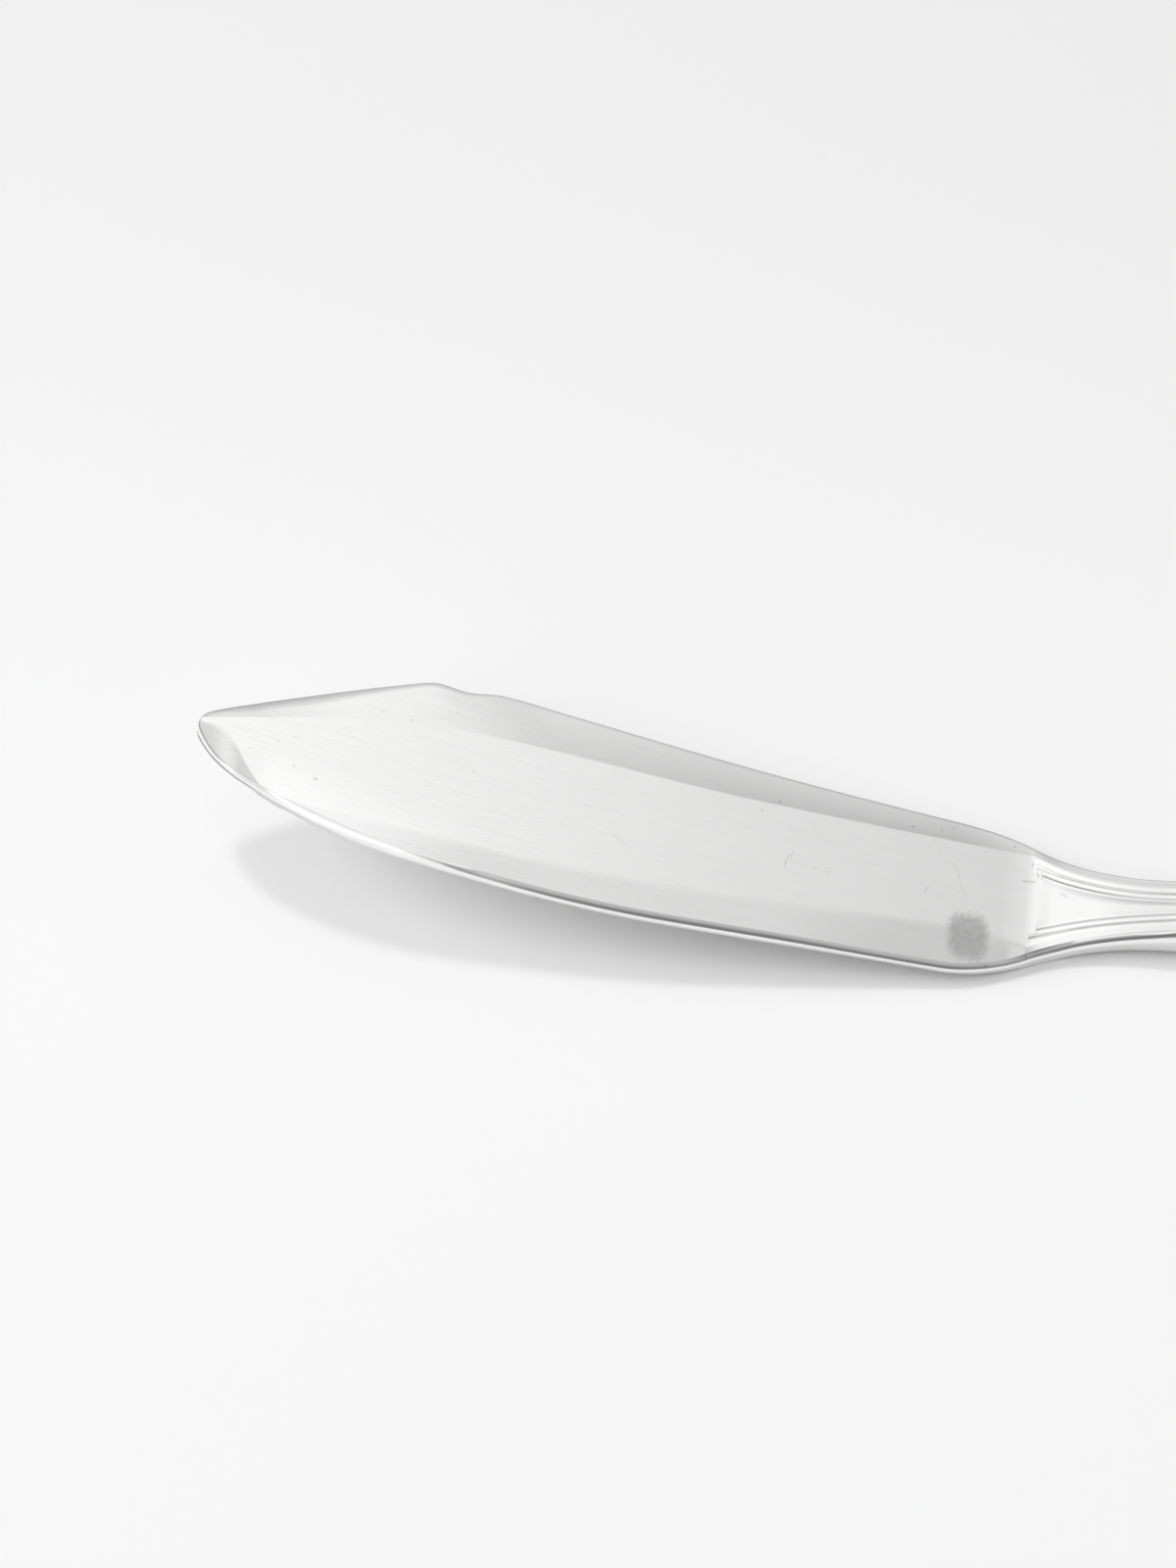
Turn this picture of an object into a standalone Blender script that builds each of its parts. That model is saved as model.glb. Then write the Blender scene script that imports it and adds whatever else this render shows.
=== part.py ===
"""Fish knife: a struck blade with its neck and tang, held in a hollow handle of two half shells.

Metres, +Z up. The tip points to -X and the spine of the blade to +Y. The knife lies as on a table, on
the underside of its heel and on the end of its handle. Places along the knife are measured from the
shoulder, where the blade turns into the neck, and are negative towards the tip. Sides are measured from
the axis of the handle, and heights from the middle plane, which is flat through the blade and arched
through the handle.
"""

import math

import bmesh
import bpy

# Blade in plan
BLADE_LENGTH = 0.0942
TIP_RADIUS = 0.0012
TIP_SIDE = 0.0074
PEAK_FROM_TIP = 0.0264
PEAK_SIDE = 0.0180
NOTCH_LENGTH = 0.0074
NOTCH_DEPTH = 0.0006
HEEL_LENGTH = 0.0095
HEEL_SPINE_SIDE = 0.0104
HEEL_BELLY_SIDE = 0.0099
SHOULDER_HALF = 0.0076
SHOULDER_SLOPE = 0.50
WAIST_AT = 0.024
WAIST_HALF = 0.00345

# Blade in section
BLADE_THICKNESS = 0.0019
BEVEL_DROP = 0.0005
BEVEL_FULL_WIDTH = 0.0030
EDGE_CHAMFER = 0.0002
WAIST_THICKNESS = 0.0036

# Lie of the knife
BLADE_RISE = math.radians(6.5)
HEEL_BEND = 0.0012
LAND_LENGTH = 0.0012
NECK_BEND = 0.0020
NECK_TILT = math.radians(5.6)
END_BEND = 0.0080
END_STRAIGHT = 0.0200

# Handle
HANDLE_LENGTH = 0.112
HANDLE_HALF = 0.0088
END_ROUND = 0.0140
BORDER_THICKNESS = 0.0062
CROWN_SHARE = 0.20
SHELL_WALL = 0.0006
GAP = 0.0003

# Double thread along the border of the neck and handle
THREAD_AT_WAIST = 0.0029
THREAD_AT_END = 0.0036
THREAD_DEPTH = 0.00032
THREAD_FADE = 0.0030

# Tang and filling
TANG_LENGTH = 0.055
TANG_HALF = 0.0016
TANG_END_HALF = 0.0012
TANG_THICKNESS = 0.0011
FILLER_START = 0.048
FILLER_END_INSET = 0.0015
FILLER_SIDE_SHARE = 0.85


def clear_scene():
    for item in list(bpy.data.objects):
        bpy.data.objects.remove(item, do_unlink=True)


def collection(name):
    made = bpy.data.collections.new(name)
    bpy.context.scene.collection.children.link(made)
    return made


def material(name, colour, roughness, metallic):
    made = bpy.data.materials.new(name)
    made.use_nodes = True
    shader = made.node_tree.nodes["Principled BSDF"]
    shader.inputs["Base Color"].default_value = (*colour, 1.0)
    shader.inputs["Roughness"].default_value = roughness
    shader.inputs["Metallic"].default_value = metallic
    return made


def hermite(at, knots):
    """Smooth curve through knots of place, value and slope; level beyond its end knots."""
    for (a, va, sa), (b, vb, sb) in zip(knots, knots[1:]):
        if at <= b:
            break
    t = min(max((at - a) / (b - a), 0.0), 1.0)
    swing = (vb - va) * t * t * (3.0 - 2.0 * t)
    leave = (b - a) * sa * t * (1.0 - t) ** 2
    reach = (b - a) * sb * t * t * (t - 1.0)
    return va + swing + leave + reach


def spread(start, end, count):
    """Even places from start up to, but not including, end."""
    return [start + (end - start) * i / count for i in range(count)]


# Edges of the blade in plan, as knots of place, side and slope; both leave the round tip along its tangents
TIP_CENTRE = -BLADE_LENGTH + TIP_RADIUS
TIP_SPINE_ANGLE = math.atan(0.50)
TIP_BELLY_ANGLE = math.atan(1.6)
PEAK_AT = PEAK_FROM_TIP - BLADE_LENGTH
SPINE = (
    (
        TIP_CENTRE - TIP_RADIUS * math.sin(TIP_SPINE_ANGLE),
        TIP_SIDE + TIP_RADIUS * math.cos(TIP_SPINE_ANGLE),
        math.tan(TIP_SPINE_ANGLE),
    ),
    (PEAK_AT - 0.34 * NOTCH_LENGTH, PEAK_SIDE - NOTCH_DEPTH, 0.34),
    (PEAK_AT, PEAK_SIDE, 0.0),
    (PEAK_AT + 0.5 * NOTCH_LENGTH, PEAK_SIDE - NOTCH_DEPTH, 0.0),
    (PEAK_AT + NOTCH_LENGTH, PEAK_SIDE - 0.3 * NOTCH_DEPTH, -0.03),
    (PEAK_AT + 1.7 * NOTCH_LENGTH, PEAK_SIDE - 1.3 * NOTCH_DEPTH, -0.17),
    (-HEEL_LENGTH, HEEL_SPINE_SIDE, -0.11),
    (0.0, SHOULDER_HALF, -SHOULDER_SLOPE),
    (WAIST_AT, WAIST_HALF, 0.0),
)
BELLY = (
    (
        TIP_CENTRE - TIP_RADIUS * math.sin(TIP_BELLY_ANGLE),
        TIP_SIDE - TIP_RADIUS * math.cos(TIP_BELLY_ANGLE),
        -math.tan(TIP_BELLY_ANGLE),
    ),
    (-0.904 * BLADE_LENGTH, -0.12 * HEEL_BELLY_SIDE, -0.55),
    (-0.702 * BLADE_LENGTH, -0.71 * HEEL_BELLY_SIDE, -0.17),
    (-0.426 * BLADE_LENGTH, -0.985 * HEEL_BELLY_SIDE, -0.015),
    (-HEEL_LENGTH, -HEEL_BELLY_SIDE, 0.0),
    (0.0, -SHOULDER_HALF, SHOULDER_SLOPE),
    (WAIST_AT, -WAIST_HALF, 0.0),
)

# Section of the border inwards from its crest: share of the double thread's width, share of its depth
THREADS = ((0.36, 0.0), (0.57, 0.15), (0.70, 1.0), (0.85, 0.1), (1.0, 1.0), (1.12, 0.35))
CREST_SHARE = THREADS[0][0]
FIELD_SHARE, FIELD_SINK = THREADS[-1]
# Widest that one side's threads may spread, as a share of the way between the crests or ridges
SIDE_SHARE = 0.46
# Outside the crest the border rounds down to its side: share of the width inwards, shares of the height
ROUND_INSET_SHARE = 0.10
ROUND_HEIGHT_SHARE = 0.82
SIDE_HEIGHT_SHARE = 0.45


def thread_width(half):
    """Width of the double thread where the neck or handle is this wide from axis to edge."""
    share = (half - WAIST_HALF) / (HANDLE_HALF - WAIST_HALF)
    return THREAD_AT_WAIST + (THREAD_AT_END - THREAD_AT_WAIST) * share


# Ridges between the flat panel of the blade and its bevels, running into the crests of the outer threads
RIDGE_AT_SHOULDER = SHOULDER_HALF - CREST_SHARE * thread_width(SHOULDER_HALF)
SPINE_RIDGE = (
    (-BLADE_LENGTH, TIP_SIDE, 0.16),
    (-0.734 * BLADE_LENGTH, 0.63 * PEAK_SIDE, 0.0),
    (-0.340 * BLADE_LENGTH, 0.45 * PEAK_SIDE, -0.075),
    (0.0, RIDGE_AT_SHOULDER, -0.05),
)
BELLY_RIDGE = (
    (-BLADE_LENGTH, TIP_SIDE, -0.1),
    (-0.941 * BLADE_LENGTH, 0.69 * TIP_SIDE, -1.0),
    (-0.872 * BLADE_LENGTH, -0.03 * HEEL_BELLY_SIDE, -0.5),
    (-0.702 * BLADE_LENGTH, -0.41 * HEEL_BELLY_SIDE, -0.13),
    (-0.457 * BLADE_LENGTH, -0.585 * HEEL_BELLY_SIDE, -0.02),
    (-HEEL_LENGTH, -0.51 * HEEL_BELLY_SIDE, 0.02),
    (0.0, -RIDGE_AT_SHOULDER, -0.3),
)

# Height of the border's crest along the neck and along the handle, and the handle's edge in plan
LAND_END = 0.5 * HEEL_BEND + LAND_LENGTH
NECK_FORMED_AT = 0.62 * WAIST_AT
END_AT = HANDLE_LENGTH - END_ROUND
NECK_CREST = (
    (LAND_END + 0.15 * NECK_BEND, 0.5 * BLADE_THICKNESS, 0.0),
    (NECK_FORMED_AT, 0.46 * WAIST_THICKNESS, 0.03),
    (WAIST_AT, 0.5 * WAIST_THICKNESS, 0.0),
)
HANDLE_CREST = ((WAIST_AT, 0.5 * WAIST_THICKNESS, 0.0), (END_AT, 0.5 * BORDER_THICKNESS, 0.0))
HANDLE_EDGE = ((WAIST_AT, WAIST_HALF, 0.0), (END_AT, HANDLE_HALF, 0.0))


def lie(end_tilt):
    """Run of the middle plane from the tip to the handle's end, as the length and turn of each stretch."""
    formed = 0.5 * HEEL_BEND + LAND_LENGTH + NECK_BEND + END_BEND + END_STRAIGHT
    return (
        (BLADE_LENGTH - 0.5 * HEEL_BEND, 0.0),
        (HEEL_BEND, BLADE_RISE),
        (LAND_LENGTH, 0.0),
        (NECK_BEND, NECK_TILT),
        (HANDLE_LENGTH - formed, -NECK_TILT - end_tilt),
        (END_BEND, end_tilt),
        (END_STRAIGHT, 0.0),
    )


def point_on(run, at, side, height):
    """The point at a place along the knife, a side from the axis and a height from the middle plane."""
    x, z, tilt, left = 0.0, 0.0, -BLADE_RISE, at + BLADE_LENGTH
    for length, turn in run:
        step = min(left, length)
        bend = turn * step / length
        chord = step * math.sin(0.5 * bend) / (0.5 * bend) if bend else step
        x += chord * math.cos(tilt + 0.5 * bend)
        z += chord * math.sin(tilt + 0.5 * bend)
        tilt += bend
        left -= step
    return (x - height * math.sin(tilt), side, z + height * math.cos(tilt))


def field_height(at):
    """Height of the handle on its axis, where the field between the threads is crowned."""
    half = hermite(at, HANDLE_EDGE)
    field = half - FIELD_SHARE * thread_width(half)
    return hermite(at, HANDLE_CREST) - FIELD_SINK * THREAD_DEPTH + CROWN_SHARE * field


def resting_lie():
    """The lie that sets the handle's end down on the same table as the heel."""
    low, high = -NECK_TILT, NECK_TILT
    for _ in range(40):
        tilt = 0.5 * (low + high)
        run = lie(tilt)
        heel = point_on(run, LAND_END, 0.0, -0.5 * BLADE_THICKNESS)[2]
        end = point_on(run, END_AT, 0.0, -field_height(END_AT))[2]
        low, high = (tilt, high) if end > heel else (low, tilt)
    return run


LIE = resting_lie()
TIP_X = point_on(LIE, -BLADE_LENGTH, 0.0, -0.5 * BLADE_THICKNESS)[0]
END_X = point_on(LIE, HANDLE_LENGTH, 0.0, 0.0)[0]
HEEL_Z = point_on(LIE, LAND_END, 0.0, -0.5 * BLADE_THICKNESS)[2]


def add(name, bm, look, into, parent):
    mesh = bpy.data.meshes.new(name)
    bm.to_mesh(mesh)
    bm.free()
    mesh.shade_smooth()
    mesh.set_sharp_from_angle(angle=math.radians(20.0))
    mesh.materials.append(look)
    made = bpy.data.objects.new(name, mesh)
    made.parent = parent
    into.objects.link(made)
    return made


def loft(rings):
    """Closed body through rings of points, with flat ends."""
    bm = bmesh.new()
    loops = [[bm.verts.new(point_on(LIE, *point)) for point in ring] for ring in rings]
    for one, two in zip(loops, loops[1:]):
        for i in range(len(one)):
            bm.faces.new((one[i - 1], one[i], two[i], two[i - 1]))
    bm.faces.new(loops[0])
    bm.faces.new(loops[-1])
    bmesh.ops.recalc_face_normals(bm, faces=bm.faces)
    return bm


# Blade, neck and tang, struck in one


def edge_side(at, knots, hand):
    """Side of an edge of the blade: round at the tip, then along its knots."""
    if at < knots[0][0]:
        return TIP_SIDE + hand * math.sqrt(TIP_RADIUS**2 - (at - TIP_CENTRE) ** 2)
    return hermite(at, knots)


def ridge_side(at, hand):
    """Side of the ridge of a bevel, which runs on along the neck as the crest of the outer thread."""
    if at > 0.0:
        half = hermite(at, SPINE)
        return hand * (half - CREST_SHARE * thread_width(half))
    edge, ridge = (SPINE, SPINE_RIDGE) if hand > 0 else (BELLY, BELLY_RIDGE)
    limit = hand * edge_side(at, edge, hand) - 0.5 * EDGE_CHAMFER
    return hand * min(hand * hermite(at, ridge), limit)


def face_half(at, hand, bevel, threads_from):
    """Sides and heights across one face of the blade or neck, from an edge to next to its middle."""
    edge = edge_side(at, SPINE if hand > 0 else BELLY, hand)
    ridge = ridge_side(at, hand)
    crest = hermite(at, NECK_CREST)
    width = thread_width(hermite(max(at, 0.0), SPINE))
    reach = SIDE_SHARE * (ridge_side(at, 1) - ridge_side(at, -1))
    pitch = min(width, reach / (FIELD_SHARE - CREST_SHARE))
    depth = THREAD_DEPTH * hermite(at, ((threads_from, 0.0, 0.0), (threads_from + THREAD_FADE, 1.0, 0.0)))
    neck = hermite(at, ((0.0, 0.0, 0.0), (NECK_FORMED_AT, 1.0, 0.0)))
    rim = crest - bevel * min(1.0, abs(edge - ridge) / BEVEL_FULL_WIDTH)
    chamfer = min(EDGE_CHAMFER, 0.4 * abs(edge - ridge))
    inset = chamfer + (ROUND_INSET_SHARE * width - chamfer) * neck
    points = [
        (edge, rim - chamfer + (SIDE_HEIGHT_SHARE * crest - rim + chamfer) * neck),
        (edge - hand * inset, rim + (ROUND_HEIGHT_SHARE * crest - rim) * neck),
    ]
    for share, sink in THREADS:
        points.append((ridge - hand * (share - CREST_SHARE) * pitch, crest - sink * depth))
    return points


def face(at, bevel, threads_from):
    """Sides and heights across one face of the blade or neck, from the spine to the belly."""
    spine = face_half(at, 1, bevel, threads_from)
    belly = face_half(at, -1, bevel, threads_from)
    middle = (0.5 * (spine[-1][0] + belly[-1][0]), spine[-1][1])
    return [*spine, middle, *reversed(belly)]


def blade_ring(at):
    """Section of the blade, bevelled in front and flat behind, or of the neck, threaded on both faces."""
    front = [(at, side, height) for side, height in face(at, BEVEL_DROP, 0.0)]
    back = [(at, side, -height) for side, height in face(at, 0.0, LAND_END)]
    return front + back[::-1]


def bar_ring(at, half, thickness, count):
    """Section of a flat bar, with as many points along each face as asked for."""
    front = [(at, half * (1.0 - 2.0 * i / (count - 1)), 0.5 * thickness) for i in range(count)]
    return front + [(at, side, -height) for _, side, height in reversed(front)]


def tang_half(at):
    return TANG_HALF + (TANG_END_HALF - TANG_HALF) * (at - WAIST_AT) / TANG_LENGTH


def make_blade(look, into, parent):
    stations = [-BLADE_LENGTH + TIP_RADIUS * (1.0 - math.cos(0.25 * i)) for i in range(1, 7)]
    stations += spread(TIP_CENTRE, PEAK_AT - 0.5 * NOTCH_LENGTH, 9)
    stations += spread(PEAK_AT - 0.5 * NOTCH_LENGTH, PEAK_AT + 1.7 * NOTCH_LENGTH, 16)
    stations += spread(PEAK_AT + 1.7 * NOTCH_LENGTH, -HEEL_LENGTH, 6)
    stations += spread(-HEEL_LENGTH, -0.5 * HEEL_BEND, 6)
    stations += spread(-0.5 * HEEL_BEND, 0.5 * HEEL_BEND, 4)
    stations += spread(0.5 * HEEL_BEND, LAND_END, 2)
    stations += spread(LAND_END, WAIST_AT, 10)
    rings = [blade_ring(at) for at in [*stations, WAIST_AT]]
    count = len(rings[0]) // 2
    tang_end = WAIST_AT + TANG_LENGTH
    for at in [*spread(WAIST_AT, tang_end, 8), tang_end]:
        rings.append(bar_ring(at, tang_half(at), TANG_THICKNESS, count))
    add("blade", loft(rings), look, into, parent)


# Half shells of the handle, stamped alike and meeting along the middle plane


def handle_outline():
    """Places and sides along the handle's edge, each with the direction that leads out of it there."""
    for at in spread(WAIST_AT + GAP, END_AT, 14):
        step = 0.01 * END_ROUND
        slope = (hermite(at + step, HANDLE_EDGE) - hermite(at - step, HANDLE_EDGE)) / (2.0 * step)
        size = math.hypot(slope, 1.0)
        yield at, hermite(at, HANDLE_EDGE), -slope / size, 1.0 / size
    for angle in [*spread(0.0, 0.5 * math.pi, 10), 0.5 * math.pi]:
        along, across = math.sin(angle) / END_ROUND, math.cos(angle) / HANDLE_HALF
        size = math.hypot(along, across)
        at, half = END_AT + END_ROUND * math.sin(angle), HANDLE_HALF * math.cos(angle)
        yield at, half, along / size, across / size


def shell_rib(at, half, along, across):
    """Section of a shell from the seam at its edge, over the threads and across the field to the axis."""
    crest = hermite(at, HANDLE_CREST)
    width = thread_width(hermite(at, HANDLE_EDGE))
    border = [
        (0.0, 0.5 * GAP),
        (0.0, SIDE_HEIGHT_SHARE * crest),
        (ROUND_INSET_SHARE * width, ROUND_HEIGHT_SHARE * crest),
    ]
    border += [(share * width, crest - sink * THREAD_DEPTH) for share, sink in THREADS]
    rib = [(at - along * inset, half - across * inset, height) for inset, height in border]
    place, field, height = rib[-1]
    for share in (0.5, 0.0):
        rib.append((place, share * field, height + CROWN_SHARE * field * (1.0 - share**2)))
    return rib


def make_shell(name, hand, look, into, parent):
    bm = bmesh.new()
    ribs = [shell_rib(*spot) for spot in handle_outline()]
    rows = []
    for rib in ribs:
        rows.append([bm.verts.new(point_on(LIE, at, side, hand * height)) for at, side, height in rib])
    for one, two in zip(rows, rows[1:]):
        for i in range(1, len(one)):
            bm.faces.new((one[i - 1], one[i], two[i], two[i - 1]))
    bmesh.ops.remove_doubles(bm, verts=bm.verts, dist=1e-6)
    if hand < 0:
        bmesh.ops.reverse_faces(bm, faces=bm.faces)
    shell = add(name, bm, look, into, parent)
    mirror = shell.modifiers.new("other side", "MIRROR")
    mirror.use_axis = (False, True, False)
    mirror.merge_threshold = 1e-5
    wall = shell.modifiers.new("wall", "SOLIDIFY")
    wall.thickness = SHELL_WALL
    wall.offset = -1.0
    wall.use_even_offset = True


# Filling of the handle, with a slot for the tang


def filler_ring(at):
    """Flat lens that clears the shells, blunt at its sides and shrinking into the round end."""
    room = SHELL_WALL + GAP
    shrink = math.sqrt(1.0 - (max(at - END_AT, 0.0) / (END_ROUND - room)) ** 2)
    half = (hermite(at, HANDLE_EDGE) - room) * shrink
    top = (field_height(at) - THREAD_DEPTH - room) * shrink
    shares = [FILLER_SIDE_SHARE * (1.0 - 0.25 * i) for i in range(9)]
    front = [(at, half * share, top * (1.0 - share**2)) for share in shares]
    return front + [(at, side, -height) for _, side, height in reversed(front)]


def make_filler(look, into, cutters, parent):
    end = HANDLE_LENGTH - FILLER_END_INSET
    stations = [*spread(FILLER_START, END_AT, 7), *spread(END_AT, end, 4), end]
    filler = add("handle_filler", loft([filler_ring(at) for at in stations]), look, into, parent)
    stop = WAIST_AT + TANG_LENGTH + GAP
    rings = []
    for at in [*spread(WAIST_AT, stop, 8), stop]:
        rings.append(bar_ring(at, tang_half(at) + GAP, TANG_THICKNESS + 2.0 * GAP, 2))
    slot = add("tang_slot", loft(rings), look, cutters, parent)
    slot.hide_render = True
    slot.display_type = "WIRE"
    cut = filler.modifiers.new("slot", "BOOLEAN")
    cut.operation = "DIFFERENCE"
    cut.solver = "EXACT"
    cut.object = slot


clear_scene()
knife = collection("fish_knife")
cutters = collection("cutters")
# The world's origin lies on the table under the middle of the knife
root = bpy.data.objects.new("knife_root", None)
root.location = (-0.5 * (TIP_X + END_X), 0.5 * (HEEL_BELLY_SIDE - PEAK_SIDE), -HEEL_Z)
knife.objects.link(root)
satin_silver = material("satin_silver", (0.86, 0.86, 0.85), 0.28, 1.0)
bright_silver = material("bright_silver", (0.88, 0.88, 0.87), 0.16, 1.0)
back_silver = material("back_silver", (0.85, 0.85, 0.84), 0.20, 1.0)
cement = material("cement", (0.52, 0.49, 0.44), 0.90, 0.0)

make_blade(satin_silver, knife, root)
make_shell("handle_upper_shell", 1, bright_silver, knife, root)
make_shell("handle_lower_shell", -1, back_silver, knife, root)
make_filler(cement, knife, cutters, root)
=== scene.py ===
"""Looks of a table fish knife: its satin blade, threaded neck and hollow handle, lying on a pale table.

Metres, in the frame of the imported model: the tip points to -X, the spine of the blade to +Y, and +Z is up.
Places along the knife are measured from the shoulder and are negative towards the tip, sides from the axis
of the handle, and heights from the middle plane of the metal.
"""

import math

import bmesh
import bpy
from mathutils import Matrix, Vector


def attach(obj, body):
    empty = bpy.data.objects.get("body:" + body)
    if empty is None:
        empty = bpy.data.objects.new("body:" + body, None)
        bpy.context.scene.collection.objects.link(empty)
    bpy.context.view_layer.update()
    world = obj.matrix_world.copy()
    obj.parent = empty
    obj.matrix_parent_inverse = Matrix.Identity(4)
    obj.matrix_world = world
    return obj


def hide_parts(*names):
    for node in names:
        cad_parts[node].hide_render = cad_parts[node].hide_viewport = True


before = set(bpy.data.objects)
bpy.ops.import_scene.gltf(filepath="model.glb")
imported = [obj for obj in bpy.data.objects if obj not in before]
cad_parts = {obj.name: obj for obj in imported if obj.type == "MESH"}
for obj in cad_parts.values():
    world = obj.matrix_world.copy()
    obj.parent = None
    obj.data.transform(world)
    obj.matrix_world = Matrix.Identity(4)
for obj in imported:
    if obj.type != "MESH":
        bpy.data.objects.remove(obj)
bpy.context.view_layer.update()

# Blade, neck and tang
# One blank of silver-plated nickel silver, struck in a die and ground. Two bevels fall from the flat panel
# to rounded edges, the notch is filed into the spine, and a double thread begins where the neck is drawn in.

BLADE_LENGTH = 0.0942
TIP_RADIUS = 0.0022
TIP_SIDE = 0.0066
TIP_RIDGE_SIDE = 0.0072
PEAK_FROM_TIP = 0.0255
PEAK_SIDE = 0.0180
SPINE_TRIM = 0.00022
NOTCH_LENGTH = 0.0074
NOTCH_DEPTH = 0.0006
HEEL_LENGTH = 0.0095
HEEL_SPINE_SIDE = 0.0104
HEEL_BELLY_SIDE = 0.0099
BELLY_SWELL = 0.00055
SHOULDER_HALF = 0.0076
SHOULDER_SLOPE = 0.50
WAIST_AT = 0.024
WAIST_HALF = 0.00345
BLADE_THICKNESS = 0.0019
BEVEL_DROP = 0.0005
BEVEL_FULL_WIDTH = 0.0030
BEVEL_LEAST_WIDTH = 0.00002
WAIST_THICKNESS = 0.0036
HANDLE_HALF = 0.0088
HANDLE_LENGTH = 0.112
TANG_LENGTH = 0.055
TANG_HALF = 0.0016
TANG_END_HALF = 0.0012
TANG_THICKNESS = 0.0011

# The knife lies on its heel and on the end of its handle, with the blade rising to the tip
BLADE_RISE = math.radians(6.5)
HEEL_BEND = 0.0012
LAND_LENGTH = 0.0012
NECK_BEND = 0.0020
NECK_TILT = math.radians(5.6)
END_BEND = 0.0080
END_STRAIGHT = 0.0200
END_TILT = math.radians(1.329)
LAND_END = 0.5 * HEEL_BEND + LAND_LENGTH
FORMED_LENGTH = LAND_END + NECK_BEND + END_BEND + END_STRAIGHT
LIE = (
    (BLADE_LENGTH - 0.5 * HEEL_BEND, 0.0),
    (HEEL_BEND, BLADE_RISE),
    (LAND_LENGTH, 0.0),
    (NECK_BEND, NECK_TILT),
    (HANDLE_LENGTH - FORMED_LENGTH, -NECK_TILT - END_TILT),
    (END_BEND, END_TILT),
    (END_STRAIGHT, 0.0),
)

# Double thread along the border; shares are of its width, in from the edge
THREAD_AT_WAIST = 0.0029
THREAD_AT_END = 0.0036
THREAD_DEPTH = 0.00016
RIDGE_SHARE = 0.36
CREST_SHARE = 0.50
OUTER_GROOVE_SHARE = 0.73
INNER_GROOVE_SHARE = 0.99
BEAD_SHARE = 0.5 * (OUTER_GROOVE_SHARE + INNER_GROOVE_SHARE)
LIP_SHARE = 1.10
SIDE_SHARE = 0.394
BEAD_POWER = 4
BEAD_SINK = 0.10
FIELD_SINK = 0.20
CREST_SHIFT = 0.006
BORDER_RAISE = 0.000065
SHELL_RAISE = 0.00003
BORDER_START = -0.0004
BORDER_END_ROUND = 0.0012
BORDER_RIDGE_RUN_IN = 0.0025
BORDER_LIP_RUN_IN = 0.0005
OUTER_GROOVE_START = -0.0001
INNER_GROOVE_START = 0.0007
GROOVE_RUN_IN = 0.0010
FIELD_RUN_IN = 0.009
FILLET = 0.0014
FILLET_ROOM = 0.8


def hermite(at, knots):
    """Smooth curve through knots of place, value and slope; level beyond its end knots."""
    for (a, va, sa), (b, vb, sb) in zip(knots, knots[1:]):
        if at <= b:
            break
    t = min(max((at - a) / (b - a), 0.0), 1.0)
    swing = (vb - va) * t * t * (3.0 - 2.0 * t)
    leave = (b - a) * sa * t * (1.0 - t) ** 2
    reach = (b - a) * sb * t * t * (t - 1.0)
    return va + swing + leave + reach


def ease(at, start, end):
    """Rises smoothly from 0 at the start to 1 at the end, whichever comes first."""
    t = min(max((at - start) / (end - start), 0.0), 1.0)
    return t * t * (3.0 - 2.0 * t)


def run_in(at, start, length):
    """Rises from 0 to 1 like the end of a cut made by a round tool."""
    t = min(max((at - start) / length, 0.0), 1.0)
    return math.sqrt(1.0 - (1.0 - t) ** 2)


def spread(start, end, count):
    """Even places from start up to, but not including, end."""
    return [start + (end - start) * i / count for i in range(count)]


def on_lie(at, height):
    """Place along the table and height of a point of the knife, measured from the tip."""
    x, z, tilt, left = 0.0, 0.0, -BLADE_RISE, at + BLADE_LENGTH
    for length, turn in LIE:
        step = min(left, length)
        bend = turn * step / length
        chord = step * math.sin(0.5 * bend) / (0.5 * bend) if bend else step
        x += chord * math.cos(tilt + 0.5 * bend)
        z += chord * math.sin(tilt + 0.5 * bend)
        tilt += bend
        left -= step
    return x - height * math.sin(tilt), z + height * math.cos(tilt)


TIP_X = on_lie(-BLADE_LENGTH, -0.5 * BLADE_THICKNESS)[0]
END_X = on_lie(HANDLE_LENGTH, 0.0)[0]
HEEL_Z = on_lie(LAND_END, -0.5 * BLADE_THICKNESS)[1]
AXIS_Y = 0.5 * (HEEL_BELLY_SIDE - PEAK_SIDE)


def lay(at, side, height):
    """The point of the table's frame at a place, side and height of the knife."""
    x, z = on_lie(at, height)
    return Vector((x - 0.5 * (TIP_X + END_X), side + AXIS_Y, z - HEEL_Z))


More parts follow.
